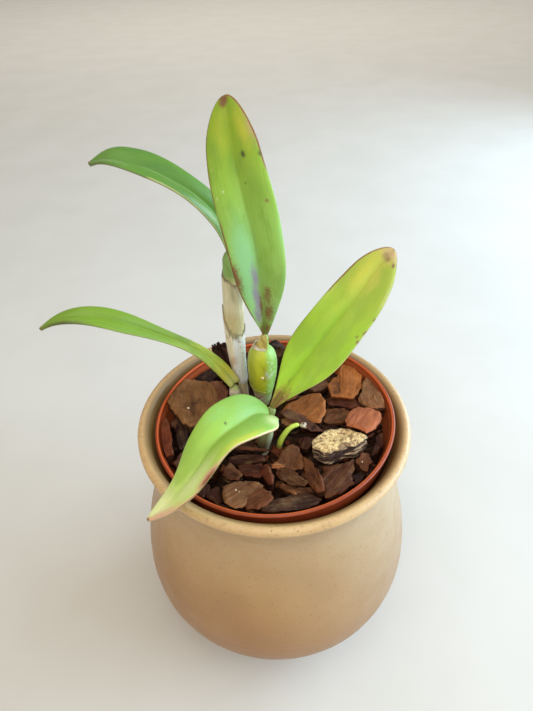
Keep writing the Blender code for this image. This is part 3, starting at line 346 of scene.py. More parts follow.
# Barks: colour of the flat faces, colour of the split sides, depth of relief. The sides' darker colour is
# partly the bark's own and partly painted shade in the gaps between chips.
BARKS = {
    "brown": ((122, 68, 38), (70, 35, 21), 0.9),
    "umber": ((58, 27, 18), (38, 18, 13), 1.0),
    "olive": ((116, 78, 44), (62, 40, 24), 1.0),
    "dusk": ((100, 62, 43), (64, 38, 26), 1.0),
    "rust": ((112, 50, 25), (66, 26, 15), 0.8),
    "orange": ((184, 108, 50), (100, 47, 23), 0.7),
    "grey": ((148, 99, 63), (80, 46, 31), 1.0),
    "tan": ((126, 75, 41), (72, 38, 22), 1.3),
    "plum": ((90, 53, 37), (48, 24, 19), 0.9),
    "red": ((156, 89, 56), (88, 40, 26), 0.5),
    "gold": ((214, 176, 116), (88, 58, 44), 1.7),
    "black": ((58, 30, 22), (34, 18, 14), 1.0),
}

# Toothed chip: its foot, the directions of its height and width, and its outline
TOOTHED_FOOT = (-19.5, 33.5, -13)
TOOTHED_UP = (-0.32, -0.02, 0.95)
TOOTHED_SIDE = (0.92, -0.2, 0.33)
TOOTHED_LEFT_EDGE = ((-3.4, 0), (-4, 20), (-3.8, 28.5))
TOOTHED_RIGHT_EDGE = ((4.2, 0), (7.2, 22), (7, 35.6))
TOOTHED_TOP = ((-3.8, 28.5), (1.6, 36.4), (7, 35.6))
TOOTHED_THICK = 3.8
PRONGS = 13


def natural_spline(knots, values, places):
    """Natural cubic spline through the values at the knots, read at the places."""
    knots = np.asarray(knots, float)
    rows = np.asarray(values, float).reshape(len(knots), -1)
    count = len(knots)
    step = np.diff(knots)
    system = np.eye(count)
    right = np.zeros_like(rows)
    for i in range(1, count - 1):
        system[i, i - 1:i + 2] = step[i - 1], 2 * (step[i - 1] + step[i]), step[i]
        right[i] = 6 * ((rows[i + 1] - rows[i]) / step[i] - (rows[i] - rows[i - 1]) / step[i - 1])
    bend = np.linalg.solve(system, right)
    i = np.clip(np.searchsorted(knots, places, side="right") - 1, 0, count - 2)
    after = ((places - knots[i]) / step[i])[:, None]
    before = 1 - after
    cubic = (before ** 3 - before) * bend[i] + (after ** 3 - after) * bend[i + 1]
    return before * rows[i] + after * rows[i + 1] + cubic * (step[i] ** 2)[:, None] / 6


def chord_places(points):
    lengths = np.linalg.norm(np.diff(np.asarray(points, float), axis=0), axis=1)
    return np.concatenate([[0.0], np.cumsum(lengths)]) / lengths.sum()


def unit(vectors):
    return vectors / np.linalg.norm(vectors, axis=-1, keepdims=True)


def ramp(value, low, high):
    share = np.clip((value - low) / (high - low), 0, 1)
    return share * share * (3 - 2 * share)


def lattice(cells, seed):
    """A repeatable number from 0 to 1 for each whole-numbered cell."""
    x, y, z = (cells[..., i].astype(np.int64) for i in range(3))
    mixed = (x * 374761393 + y * 668265263 + z * 1440662683 + seed * 974634777) & 0xFFFFFFFF
    mixed = ((mixed ^ (mixed >> 13)) * 1274126177) & 0xFFFFFFFF
    return ((mixed ^ (mixed >> 16)) & 0xFFFF) / 65535.0


def noise(points, scale=1.0, seed=0):
    """Smooth noise from -1 to 1 at rows of points, with scale cells to the millimetre."""
    spots = np.asarray(points, float) * scale
    base = np.floor(spots)
    part = spots - base
    part = part * part * (3 - 2 * part)
    total = 0.0
    for corner in np.ndindex(2, 2, 2):
        weight = np.prod(np.where(corner, part, 1 - part), axis=-1)
        total = total + weight * lattice(base + corner, seed)
    return 2 * total - 1


def linear(colour):
    """A colour given from 0 to 255, as a screen shows it, as the shader wants it."""
    shares = [c / 255 for c in colour]
    return tuple(c / 12.92 if c < 0.04 else ((c + 0.055) / 1.055) ** 2.4 for c in shares)


def blend(amount, first, second):
    """Rows of linear colour between two screen colours or rows, by an amount for each row."""
    amount = np.asarray(amount, float)[..., None]
    rows = [np.asarray(linear(c) if isinstance(c, tuple) else c) for c in (first, second)]
    return rows[0] * (1 - amount) + rows[1] * amount


class Finish:
    """Builds one material. Each method adds nodes and gives back the socket to use next."""

    def __init__(self, name, roughness, specular=0.5):
        self.made = bpy.data.materials.new(name)
        self.made.use_nodes = True
        self.shader = self.made.node_tree.nodes["Principled BSDF"]
        self.set(Roughness=roughness, Specular_IOR_Level=specular)

    def put(self, socket, value):
        if isinstance(value, bpy.types.NodeSocket):
            self.made.node_tree.links.new(value, socket)
        else:
            socket.default_value = value

    def set(self, **sockets):
        for name, value in sockets.items():
            self.put(self.shader.inputs[name.replace("_", " ")], value)

    def node(self, kind, inputs, **settings):
        """Adds a node with its settings, fills its inputs and gives back its outputs."""
        node = self.made.node_tree.nodes.new("ShaderNode" + kind)
        for name, value in settings.items():
            setattr(node, name, value)
        for name, value in inputs.items():
            self.put(node.inputs[name], value)
        return node.outputs

    def stored(self, name, output="Fac"):
        return self.node("Attribute", {}, attribute_name=name)[output]

    def place(self, stretch=(1, 1, 1), stored=None):
        """Coordinates in millimetres, either the object's own or those stored on its points."""
        source = self.stored(stored, "Vector") if stored else self.node("TexCoord", {})["Object"]
        cells = 1.0 if stored else 1 / MM
        return self.node("Mapping", {"Vector": source, "Scale": [s * cells for s in stretch]})["Vector"]

    def noise(self, vector, scale=1.0, detail=3.0, roughness=0.55, distortion=0.0):
        names = ("Vector", "Scale", "Detail", "Roughness", "Distortion")
        return self.node("TexNoise", dict(zip(names, (vector, scale, detail, roughness, distortion))))[0]

    def grain(self, stretch, *noise):
        """Noise in the coordinates stored on the points, which run along the grain."""
        return self.noise(self.place(stretch, "grain"), 1.0, *noise)

    def cells(self, vector, scale):
        return self.node("TexVoronoi", {"Vector": vector, "Scale": scale})["Distance"]

    def step(self, value, low, high, bottom=0.0, top=1.0):
        ends = {"Value": value, "From Min": low, "From Max": high, "To Min": bottom, "To Max": top}
        return self.node("MapRange", ends, interpolation_type="SMOOTHSTEP")["Result"]

    def maths(self, operation, first, second):
        return self.node("Math", {0: first, 1: second}, operation=operation)[0]

    def times(self, first, second):
        return self.maths("MULTIPLY", first, second)

    def mix(self, amount, first, second, kind="MIX"):
        first, second = ((*linear(c), 1.0) if isinstance(c, tuple) else c for c in (first, second))
        inputs = {0: amount, 6: first, 7: second}
        return self.node("Mix", inputs, data_type="RGBA", blend_type=kind, clamp_factor=True)[2]

    def over(self, colour, *layers):
        """Lays colours over a colour: what each follows, start and end of its rise, its most, and it."""
        for value, low, high, most, new in layers:
            colour = self.mix(self.step(value, low, high, 0.0, most), colour, new)
        return colour

    def bump(self, height, depth):
        """Relief of a depth in millimetres, on top of what the shader already has."""
        inputs = {"Distance": depth * MM, "Height": height}
        old = self.shader.inputs["Normal"].links
        if old:
            inputs["Normal"] = old[0].from_socket
        self.set(Normal=self.node("Bump", inputs)["Normal"])


def stoneware():
    """Satin sand-coloured glaze with fine iron speckles and faint rings from throwing."""
    paint = Finish("stoneware", 0.42, 0.45)
    here = paint.place()
    side, depth, height, inner = (paint.stored(n) for n in ("side", "depth", "height", "inner"))
    lip = paint.step(paint.stored("lip"), 0.0, 1.0)
    broad = paint.noise(here, 0.018, 2.0)
    cloud = paint.noise(here, 0.09, 4.0, 0.6)
    grit = paint.noise(here, 1.3, 3.0, 0.7)
    # Painted light: the right side is mixed towards pale grey, a painted reflection of the cool window light,
    # and the left side towards warm brown, painted warm bounce light. The glaze turns lighter towards the
    # neck, and darker and warmer towards the foot, partly its own tone and partly painted warm bounce light.
    colour = paint.over(
        paint.mix(paint.step(broad, 0.35, 0.65), (162, 121, 69), (178, 138, 85)),
        (side, -10, 70, 0.5, (190, 172, 142)), (side, -20, -75, 0.15, (178, 122, 62)),
        (height, 75, 128, 0.4, (192, 168, 130)), (height, 105, 10, 0.95, (142, 88, 34)),
    )
    colour = paint.mix(paint.times(lip, 0.8), colour, (212, 176, 122))
    # Painted shade: the far side of the lip, and below it the inner face of the mouth, are mixed darker.
    colour = paint.mix(paint.times(lip, paint.step(depth, -10, 45, 0.0, 0.5)), colour, (160, 130, 84))
    colour = paint.over(
        paint.mix(paint.times(inner, 0.9), colour, (118, 92, 48)),
        (cloud, 0.42, 0.75, 0.25, (166, 124, 78)), (grit, 0.56, 0.72, 0.38, (136, 100, 62)),
        (paint.cells(here, 0.32), 0.15, 0.08, 0.6, (100, 68, 42)),
        (paint.noise(here, 2.6, 2.0, 0.6), 0.6, 0.75, 0.2, (234, 206, 162)),
    )
    worn = paint.times(lip, paint.step(paint.noise(here, 0.5, 3.0, 0.65), 0.52, 0.72, 0.0, 0.5))
    colour = paint.mix(worn, colour, (150, 112, 76))
    paint.set(
        Base_Color=colour, Roughness=paint.step(cloud, 0.3, 0.7, 0.36, 0.5),
        Coat_Weight=paint.step(inner, 0, 1, 0.35, 0.0), Coat_Roughness=0.38,
    )
    paint.bump(paint.noise(paint.place((0.004, 0.004, 0.55)), 1.0, 2.0), 0.22)
    paint.bump(grit, 0.05)
    return paint.made


def orange_plastic():
    """Moulded terracotta-coloured plastic, a little scuffed, with a painted highlight along the lip's crest
    and painted light on the inside wall.
    """
    paint = Finish("orange_plastic", 0.36, 0.35)
    here = paint.place()
    colour = paint.mix(paint.step(paint.noise(here, 0.12), 0.35, 0.7), (138, 58, 30), (154, 68, 36))
    # Painted light: the inside wall is mixed lighter.
    colour = paint.mix(paint.times(paint.stored("inside"), 0.8), colour, (184, 94, 52))
    # Painted highlight along the lip's crest.
    colour = paint.mix(paint.stored("crest"), colour, (216, 100, 44))
    dust = paint.noise(paint.place((0.5, 0.5, 0.12)), 1.0, 4.0, 0.7)
    colour = paint.over(colour, (dust, 0.56, 0.8, 0.2, (196, 120, 78)))
    paint.set(Base_Color=colour, Roughness=paint.step(dust, 0.4, 0.7, 0.3, 0.5))
    paint.bump(paint.noise(here, 1.6, 2.0), 0.03)
    return paint.made


def bark(name, roughness=0.6, contrast=1.0):
    """Split bark: colour stored on the points, then fibres, weathering and pits along the chip, and painted
    shade in its hollows.
    """
    paint = Finish(name, roughness, 0.18)
    base = paint.stored("tint", "Color")
    shade = paint.mix(1.0, base, (150, 122, 100), "MULTIPLY")
    pale = paint.mix(0.34, base, (224, 178, 124))
    broad = paint.grain((0.10, 0.22, 0.3), 3.0, 0.5)
    fibre = paint.grain((0.12, 1.3, 1.3), 5.0, 0.62, 0.5)
    pits = paint.grain((0.9, 1.7, 1.7), 4.0, 0.7)
    flecks = paint.grain((0.7, 2.2, 2.2), 5.0, 0.75, 0.8)
    colour = paint.over(
        base, (broad, 0.5, 0.3, 0.32 * contrast, shade), (broad, 0.5, 0.75, 0.35 * contrast, pale),
        (fibre, 0.48, 0.30, 0.6 * contrast, shade), (fibre, 0.56, 0.72, 0.4 * contrast, pale),
        # The light flecks are partly pale fibres and partly painted glints.
        (pits, 0.42, 0.30, 0.7 * contrast, shade), (flecks, 0.60, 0.72, 0.5 * contrast, (196, 152, 104)),
        # Painted shade: the stored hollow shade darkens the crevices.
        (paint.stored("deep"), 0.62, 1.05, 0.85, (24, 13, 10)),
    )
    paint.set(Base_Color=colour, Roughness=paint.step(fibre, 0.35, 0.7, roughness - 0.08, roughness + 0.16))
    paint.bump(fibre, 0.4)
    paint.bump(pits, 0.28)
    return paint.made


def pale_bark():
    """Rough pale bark: a crust of golden grains with brown hollows, over dark and cream layers."""
    paint = Finish("pale_bark", 0.78, 0.25)
    here = paint.place(stored="grain")
    crust = paint.noise(here, 0.8, 5.0, 0.72, 0.6)
    hollow = paint.grain((0.16, 0.30, 0.3), 4.0, 0.65)
    grains = paint.cells(here, 1.25)
    layer = paint.grain((0.05, 0.10, 1.5), 3.0, 0.5)
    top = paint.over(
        paint.mix(paint.step(crust, 0.38, 0.54), (146, 108, 70), (240, 210, 150)),
        (hollow, 0.5, 0.34, 0.8, (112, 78, 56)), (grains, 0.5, 0.75, 0.25, (112, 80, 58)),
    )
    side = paint.mix(paint.step(layer, 0.47, 0.58), (64, 42, 38), (196, 166, 130))
    side = paint.over(side, (crust, 0.5, 0.35, 0.5, (58, 38, 34)))
    colour = paint.mix(paint.stored("top"), side, top)
    # Painted shade darkens the hollows.
    paint.set(Base_Color=paint.over(colour, (paint.stored("deep"), 0.7, 1.1, 0.7, (60, 38, 30))))
    paint.bump(crust, 0.55)
    paint.bump(grains, 0.2)
    return paint.made


def skin(name, roughness, fibres, depth, contrast=0.25, dark=(90, 80, 40)):
    """Plant skin whose colour is stored on its points, with fine fibres along the grain."""
    paint = Finish(name, roughness)
    line = paint.grain((fibres, fibres * 0.07, fibres), 3.0, 0.6)
    blot = paint.grain((0.5, 0.3, 0.5), 4.0, 0.65)
    fine = paint.grain((3.0, 2.0, 3.0), 2.0)
    colour = paint.over(
        paint.stored("tint", "Color"), (line, 0.62, 0.36, contrast, dark), (blot, 0.45, 0.25, contrast, dark),
        (fine, 0.6, 0.75, contrast * 0.6, (244, 238, 214)),
    )
    paint.set(Base_Color=colour, Roughness=paint.step(blot, 0.3, 0.7, roughness + 0.1, roughness - 0.05))
    paint.bump(line, depth)
    paint.bump(fine, depth * 0.4)
    return paint.made


def leaf_finish(name, low, middle, high, shade, rib, under):
    """Waxy leaf: a slow change along its length, fibres, listed marks and a coloured margin."""
    paint = Finish(name, 0.42, 0.4)
    fibre = paint.grain((1.3, 0.05, 1.0), 3.0, 0.6)
    cloud = paint.grain((0.12, 0.05, 0.1))
    speck = paint.grain((0.9, 0.7, 1.0), 4.0, 0.7)
    blotch = paint.grain((0.3, 0.2, 0.3), 3.0, 0.6)
    patchy = paint.maths("SUBTRACT", paint.times(paint.maths("ADD", speck, blotch), 0.5), 0.5)
    share = paint.stored("share")
    colour = paint.over(
        paint.mix(paint.step(share, 0.1, 0.5), low, middle), (share, 0.5, 0.95, 1.0, high),
        (cloud, 0.56, 0.34, 0.6, shade), (fibre, 0.58, 0.35, 0.22, shade),
    )
    amounts = []
    for rows in ("marks_a", "marks_b"):
        amounts += paint.node("SeparateColor", {0: paint.stored(rows, "Color")})[:3]
        amounts.append(paint.stored(rows, "Alpha"))
    amounts.append(paint.stored("pink"))
    for column, mark, ragged in LEAF_MARKS.values():
        torn = paint.maths("ADD", amounts[column], paint.times(patchy, ragged))
        cover = paint.times(paint.step(torn, 0.15, 0.9), paint.step(amounts[column], 0.02, 0.2))
        colour = paint.mix(cover, colour, mark)
    colour = paint.over(
        colour, (paint.stored("rib"), 1.3, 0.2, 0.45, rib), (speck, 0.3, 0.22, 0.25, shade),
    )
    back = paint.mix(paint.step(fibre, 0.4, 0.6), under, shade)
    paint.set(
        Base_Color=paint.mix(paint.stored("under"), colour, back),
        Roughness=paint.step(cloud, 0.3, 0.7, 0.5, 0.38),
        Subsurface_Weight=0.22, Subsurface_Scale=0.0012, Subsurface_Radius=(0.7, 1.0, 0.25),
    )
    paint.bump(fibre, 0.10)
    paint.bump(speck, 0.05)
    return paint.made


def add_object(name, data):
    made = bpy.data.objects.new(name, data)
    bpy.context.scene.collection.objects.link(made)
    return made


def mesh_of(name, points, faces):
    """A mesh from points in millimetres."""
    mesh = bpy.data.meshes.new(name)
    mesh.from_pydata((np.asarray(points, float) * MM).tolist(), [], faces)
    return mesh


def piece(name, points, faces, finish, nodes, slot, sharp=None, **stored):
    """Makes one piece from points in millimetres. It rides on the only body and replaces CAD nodes."""
    mesh = mesh_of(name, points, faces)
    mesh.materials.append(finish)
    mesh.shade_smooth()
    if sharp:
        mesh.set_sharp_from_angle(angle=math.radians(sharp))
    for kind, rows in stored.items():
        rows = np.asarray(rows, np.float32)
        if kind == "tint":
            rows = np.insert(rows, 3, 1.0, axis=1)
        sort, field = {1: ("FLOAT", "value"), 3: ("FLOAT_VECTOR", "vector"), 4: ("FLOAT_COLOR", "color")}[
            1 if rows.ndim == 1 else rows.shape[1]
        ]
        mesh.attributes.new(kind, sort, "POINT").data.foreach_set(field, rows.ravel())
    made = add_object(name, mesh)
    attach(made, "root")
    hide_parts(*nodes)
    return made


def plant_piece(name, surface, tint, finish, node, slot):
    """A piece of the plant, by the points, faces and grain of its surface and its points' colour."""
    points, faces, grain = surface[:3]
    piece(name, from_rim(points), faces, finish, [node], slot, grain=grain, tint=tint)


def layered(tint, *layers):
    """Rows of colour with screen colours laid over them in turn, each by an amount for each row."""
    for amount, colour in layers:
        tint = blend(amount, tint, colour)
    return tint


def streaks(grain, stretch, scale, seed):
    """Noise from 0 to 1 in streaks along the grain."""
    return 0.5 + 0.5 * noise(grain * (1, stretch, 1), scale, seed)


def streaked(grain, stretch, scale, seed, first, second):
    """Rows of colour that change between two screen colours in streaks along the grain."""
    return blend(streaks(grain, stretch, scale, seed), first, second)


def from_rim(points):
    """Points given from the middle of the stoneware rim, in the row's frame."""
    return np.asarray(points, float) + (0, 0, RIM_HEIGHT)


def from_lip(points):
    """Points given from the middle of the leaning grower's pot's lip, in the row's frame."""
    turn = np.array(Euler((*NURSERY_LEAN, 0)).to_matrix())
    return np.asarray(points, float) @ turn.T + (0, 0, RIM_HEIGHT + NURSERY_LIP_ABOVE_RIM)


def arc(centre, radius, start, stop, count):
    """Points (radius, height) of an arc, angles in degrees."""
    turns = np.radians(np.linspace(start, stop, count))
    return [(centre[0] + radius * math.cos(t), centre[1] + radius * math.sin(t)) for t in turns]


def profile_curve(points, between):
    """A smooth run through given points, with extra points between each two."""
    knots = chord_places(points)
    spots = np.arange((len(points) - 1) * (between + 1) + 1) / (between + 1)
    places = np.interp(spots, range(len(points)), knots)
    return [tuple(p) for p in natural_spline(knots, points, places)]


def turned(profile, sides):
    """Points and faces of a closed profile of (radius, height) points that starts and ends on the axis."""
    inner = profile[1:-1]
    angles = np.arange(sides) * 2 * math.pi / sides
    rings = [np.stack([r * np.cos(angles), r * np.sin(angles), np.full(sides, z)], 1) for r, z in inner]
    points = np.concatenate([[(0, 0, profile[0][1])], *rings, [(0, 0, profile[-1][1])]])
    faces = []
    last = len(points) - 1
    top = 1 + (len(inner) - 1) * sides
    for i in range(sides):
        j = (i + 1) % sides
        faces.append((0, 1 + j, 1 + i))
        faces.append((top + i, top + j, last))
        for low in range(1, top, sides):
            faces.append((low + i, low + j, low + sides + j, low + sides + i))
    return points, faces


def build_cachepot():
    """Stoneware pot: flat foot, round belly, narrow neck and a rolled lip, very slightly uneven."""
    top = RIM_HEIGHT
    outside = profile_curve([
        (FOOT_RADIUS + 3, 1.2), (59, 15.5), (BELLY_RADIUS - 1.4, 36), (BELLY_RADIUS, 55),
        (70.6, 80), (63.9, 107), (NECK_RADIUS + 0.1, top - 15), (RIM_RADIUS - 1.4, top - 3.6),
    ], 7)
    lip = arc((RIM_RADIUS - LIP_ROUND, top), LIP_ROUND, -40, 100, 15)
    inside = profile_curve([
        (RIM_RADIUS - 5.4, top + 1.2), (60.2, top - 3.4), (57.9, top - 9), (NECK_INNER_RADIUS, top - 14),
        (59.8, 103), (65.8, 80), (BELLY_RADIUS - 5.2, 55), (BELLY_RADIUS - 6.6, 38), (55, 19),
        (34, FLOOR_THICK + 1),
    ], 3)
    foot = [(0, 0), (FOOT_RADIUS - 3, 0), (FOOT_RADIUS, 0), (FOOT_RADIUS + 1.6, 0.3)]
    points, faces = turned(foot + outside + lip + inside + [(28, FLOOR_THICK), (0, FLOOR_THICK)], POT_SIDES)
    height = points[:, 2].copy()
    reach = np.hypot(points[:, 0], points[:, 1])
    wobble = 0.28 * noise(points, 0.012, 3) + 0.10 * noise(points * (0.2, 0.2, 1), 0.16, 4)
    scale = 1 + wobble * ramp(height, 2, 20) / np.maximum(reach, 1)
    points[:, :2] *= scale[:, None]
    points[:, 2] += 0.25 * noise(points * (1, 1, 0), 0.02, 5) * ramp(height, top - 12, top)
    lip_share = ramp(height, top - 6, top + 1.5) * ramp(reach, RIM_RADIUS - 4.5, RIM_RADIUS - 2)
    inner = ramp(61.5 + 0.3 * (height - top + 9) - reach, 0, 1.5)
    piece(
        "pot_of_stoneware", points, faces, stoneware(), ["cachepot"], "stoneware",
        height=height, lip=lip_share, inner=inner, side=points[:, 0], depth=points[:, 1],
    )


def nursery_wall_radius(depth):
    """Outer radius of the grower's pot under its collar, at a depth below the lip."""
    share = (depth - COLLAR_DEPTH) / (NURSERY_HEIGHT - COLLAR_DEPTH)
    top_radius = NURSERY_LIP_RADIUS - COLLAR_INSET - COLLAR_STEP
    return top_radius + (NURSERY_BASE_RADIUS - top_radius) * share


def build_nursery_pot():
    """Plastic pot with a rolled lip, a collar, a tapering wall and drain holes in its floor."""
    foot = -NURSERY_HEIGHT
    collar = NURSERY_LIP_RADIUS - COLLAR_INSET
    wall = NURSERY_WALL
    outside = [(0, foot), (NURSERY_BASE_RADIUS - 8, foot)]
    outside += arc((NURSERY_BASE_RADIUS - 2, foot + 2), 2, -90, 0, 6)
    outside += [(nursery_wall_radius(d), -d) for d in np.linspace(NURSERY_WALL_END, COLLAR_DEPTH + 1.2, 14)]
    outside += arc((collar - COLLAR_DRAFT - 0.5, -COLLAR_DEPTH + 0.3), 0.5, -80, 0, 5)
    outside += [(collar - 0.15, -COLLAR_DEPTH / 2), (collar, -2.0)]
    roll = arc((NURSERY_LIP_RADIUS - 0.25, -NURSERY_LIP_ROLL), NURSERY_LIP_ROLL, -70, 190, 15)
    inside = [(collar - wall, -2.6), (collar - wall - 0.2, -COLLAR_DEPTH / 2)]
    inside += [(collar - COLLAR_DRAFT - wall, -COLLAR_DEPTH + 1)]
    depths = np.linspace(COLLAR_DEPTH + 1.6, NURSERY_WALL_END, 10)
    inside += [(nursery_wall_radius(d) - wall, -d) for d in depths]
    inside += [(NURSERY_BASE_RADIUS - wall - 1.2, foot + wall + 1), (NURSERY_BASE_RADIUS - 8, foot + wall)]
    points, faces = turned(outside + roll + inside + [(0, foot + wall)], NURSERY_SIDES)
    inner_from = 1 + (len(outside) + len(roll) - 1) * NURSERY_SIDES
    is_inside = (np.arange(len(points)) > inner_from).astype(float)
    on_top = ramp(points[:, 2], -1.1 * NURSERY_LIP_ROLL, -0.4 * NURSERY_LIP_ROLL)
    inward = ramp(np.hypot(points[:, 0], points[:, 1]), NURSERY_LIP_RADIUS - 0.1, NURSERY_LIP_RADIUS - 0.8)
    points[:, :2] *= (1 + 0.0012 * noise(points, 0.02, 8))[:, None]
    # The crest row marks where the lip gets its painted highlight; the inside row marks the wall that gets
    # painted light.
    pot = piece(
        "growers_pot", from_lip(points), faces, orange_plastic(), ["nursery_pot"], "orange_plastic",
        inside=is_inside, crest=on_top * inward,
    )
    drill_drain_holes(pot)


def drill_drain_holes(pot):
    """Cuts the ring of drain holes through the pot's floor and applies the cut."""
    turns = np.arange(DRAIN_SIDES) * 2 * math.pi / DRAIN_SIDES
    rim = np.stack([np.cos(turns), np.sin(turns)], 1) * DRAIN_RADIUS
    holes = []
    for hole in range(DRAIN_HOLES):
        angle = 2 * math.pi * (hole + 0.5) / DRAIN_HOLES
        ring = rim + np.array((math.cos(angle), math.sin(angle))) * DRAIN_RING_RADIUS
        ends = (-NURSERY_HEIGHT - 2, -NURSERY_HEIGHT + NURSERY_WALL + 2)
        points = np.concatenate([np.insert(ring, 2, height, axis=1) for height in ends])
        holes.append((points, tube_faces(2, DRAIN_SIDES)))
    points, faces = join(holes)
    cutter = add_object("drain_cutter", mesh_of("drain_cutter", from_lip(points), faces))
    step = pot.modifiers.new("drain", "BOOLEAN")
    step.operation = "DIFFERENCE"
    step.solver = "EXACT"
    step.object = cutter
    bpy.context.view_layer.update()
    read = pot.evaluated_get(bpy.context.evaluated_depsgraph_get())
    cut = bpy.data.meshes.new_from_object(read)
    pot.modifiers.remove(step)
    pot.data = cut
    bpy.data.objects.remove(cutter, do_unlink=True)


def chip_corners(rng, row):
    """Corner points of one bark chip, the matrix of its own axes, and its size."""
    x, y, lift, length, width, thick, turn, side_tilt, end_tilt = row[:9]
    matrix = Matrix.Rotation(math.radians(turn), 3, "Z")
    matrix @= Matrix.Rotation(math.radians(side_tilt), 3, "X")
    matrix @= Matrix.Rotation(math.radians(end_tilt), 3, "Y")
    centre = Vector((x, y, lift - BARK_BELOW_LIP + BARK_HEAP * max(0.0, -x) / NURSERY_LIP_RADIUS))
    corners = []
    for layer, shrink in CHIP_LAYERS:
        for i in range(CHIP_CORNERS):
            angle = 2 * math.pi * (i + rng.uniform(-0.25, 0.25)) / CHIP_CORNERS
            square = max(abs(math.cos(angle)), abs(math.sin(angle)))
            reach = shrink * rng.uniform(0.88, 1.06) / (1 - CHIP_SQUARENESS * (1 - square))
            across = Vector((0.5 * length * reach * math.cos(angle), 0.5 * width * reach * math.sin(angle), 0))
            across.z = thick * (layer + rng.uniform(-0.1, 0.1))
            corners.append(tuple(centre + matrix @ across))
    return np.array(corners), np.array(matrix), (length, width, thick)


def hull_planes(corners):
    """Middle of a convex chip, its faces' normals, their distances from there, and how many look alike."""
    work = bmesh.new()
    for corner in corners:
        work.verts.new(corner)
    bmesh.ops.convex_hull(work, input=work.verts)
    work.normal_update()
    middle = corners.mean(0)
    normals = np.array([f.normal for f in work.faces])
    reach = np.array([(np.array(f.verts[0].co) - middle) @ np.array(f.normal) for f in work.faces])
    work.free()
    normals *= np.sign(reach)[:, None]
    alike = np.exp(-((normals[:, None] - normals[None]) ** 2).sum(-1) / 0.05).sum(1)
    return middle, normals, np.maximum(np.abs(reach), 0.3), alike


def box_grid(counts):
    """Points on the surface of a cube from -1 to 1, and its quads, for so many cells along each edge."""
    index = {}
    faces = []
    for axis in range(3):
        first, second = (axis + 1) % 3, (axis + 2) % 3
        for side in (0, counts[axis]):
            for i, j in np.ndindex(counts[first], counts[second]):
                quad = []
                for di, dj in ((0, 0), (1, 0), (1, 1), (0, 1)):
                    cell = [0, 0, 0]
                    cell[axis], cell[first], cell[second] = side, i + di, j + dj
                    quad.append(index.setdefault(tuple(cell), len(index)))
                faces.append(quad if side else quad[::-1])
    points = np.array(list(index), float) / counts * 2 - 1
    return points, np.array(faces)


def chip_surface(rng, row, grid, seed, relief=None):
    """A chip by its size: its hull with worn edges, flaked and fibrous faces, and layered sides."""
    corners, axes, (length, width, thick) = chip_corners(rng, row)
    middle, normals, reach, alike = hull_planes(corners)
    face_colour, side_colour, rough = BARKS[row[9]]
    depth = rough if relief is None else relief
    half = np.array((length / 2, width / 2, thick * 0.7))
    cube, faces = box_grid([max(3, round(2 * h / grid)) for h in half])
    ways = unit((cube * half) @ axes.T)
    share = np.maximum(ways @ normals.T / reach, 0) ** CHIP_EDGE_POWER / alike
    total = share.sum(1)
    out = unit((share / total[:, None]) @ normals)
    points = middle + ways * (total ** (-1 / CHIP_EDGE_POWER))[:, None]
    facing = np.abs(out @ axes[:, 2]) ** 2
    grain = (points - middle) @ axes + seed * GRAIN_SHIFT
    on_face, tone = face_relief(grain, seed)
    on_side, side_tone = side_relief(grain, seed)
    lift = depth * (facing * on_face + (1 - facing) * on_side)
    # Painted shade: the lower the relief, the darker the point.
    deep = np.clip(0.4 - 0.9 * lift / depth, 0, 1.2)
    # The sides take their darker colour, partly the bark's own and partly painted shade.
    tint = blend(facing, side_colour, face_colour)
    tint = tint * (1 + facing * tone + (1 - facing) * side_tone)[:, None] * chip_tone(seed)
    return points + out * lift[:, None], faces.tolist(), grain, deep, np.clip(tint, 0, 1)


def face_relief(grain, seed):
    """Height and change of tone over a split face: broad waves, flakes and furrows along the grain."""
    broad = noise(grain, 0.10, seed)
    plates = noise(grain * (0.7, 1.4, 1.0), 0.12, seed + 1)
    flakes = ramp(plates, -0.20, -0.15) + ramp(plates, 0.26, 0.31)
    furrows = noise(grain * (0.16, 1, 1), 0.8, seed + 2)
    knots = noise(grain, 0.42, seed + 4)
    height = 0.70 * broad + 0.42 * (flakes - 1) + 0.26 * furrows + 0.26 * knots
    return height, 0.16 * broad + 0.05 * (flakes - 1) + 0.16 * furrows + 0.12 * knots


def side_relief(grain, seed):
    """Height and change of tone over a split side: ledges where layers of bark broke back."""
    layers = noise(grain * (0.10, 0.10, 1), 0.75, seed + 3)
    ledges = ramp(noise(grain * (0.16, 0.16, 1), 0.42, seed + 5), -0.06, 0.06)
    knots = noise(grain, 0.42, seed + 4)
    return 0.45 * layers + 0.7 * (ledges - 1) + 0.22 * knots, 0.35 * layers + 0.18 * (ledges - 0.5)


def outline_ring(corners, grid):
    """Evenly spaced points round a chip's outline, anticlockwise, its corners worn a little."""
    middle = corners.mean(0)
    if np.cross(corners - middle, np.roll(corners, -1, 0) - middle).sum() < 0:
        corners = corners[::-1]
    closed = np.concatenate([corners, corners[:1]])
    walk = np.concatenate([[0.0], np.cumsum(np.linalg.norm(np.diff(closed, axis=0), axis=1))])
    spots = np.linspace(0, walk[-1], round(walk[-1] / grid), endpoint=False)
    ring = np.stack([np.interp(spots, walk, closed[:, i]) for i in (0, 1)], 1) - middle
    for _ in range(round(0.7 / grid)):
        ring = (np.roll(ring, 1, 0) + 2 * ring + np.roll(ring, -1, 0)) / 4
    return middle, ring


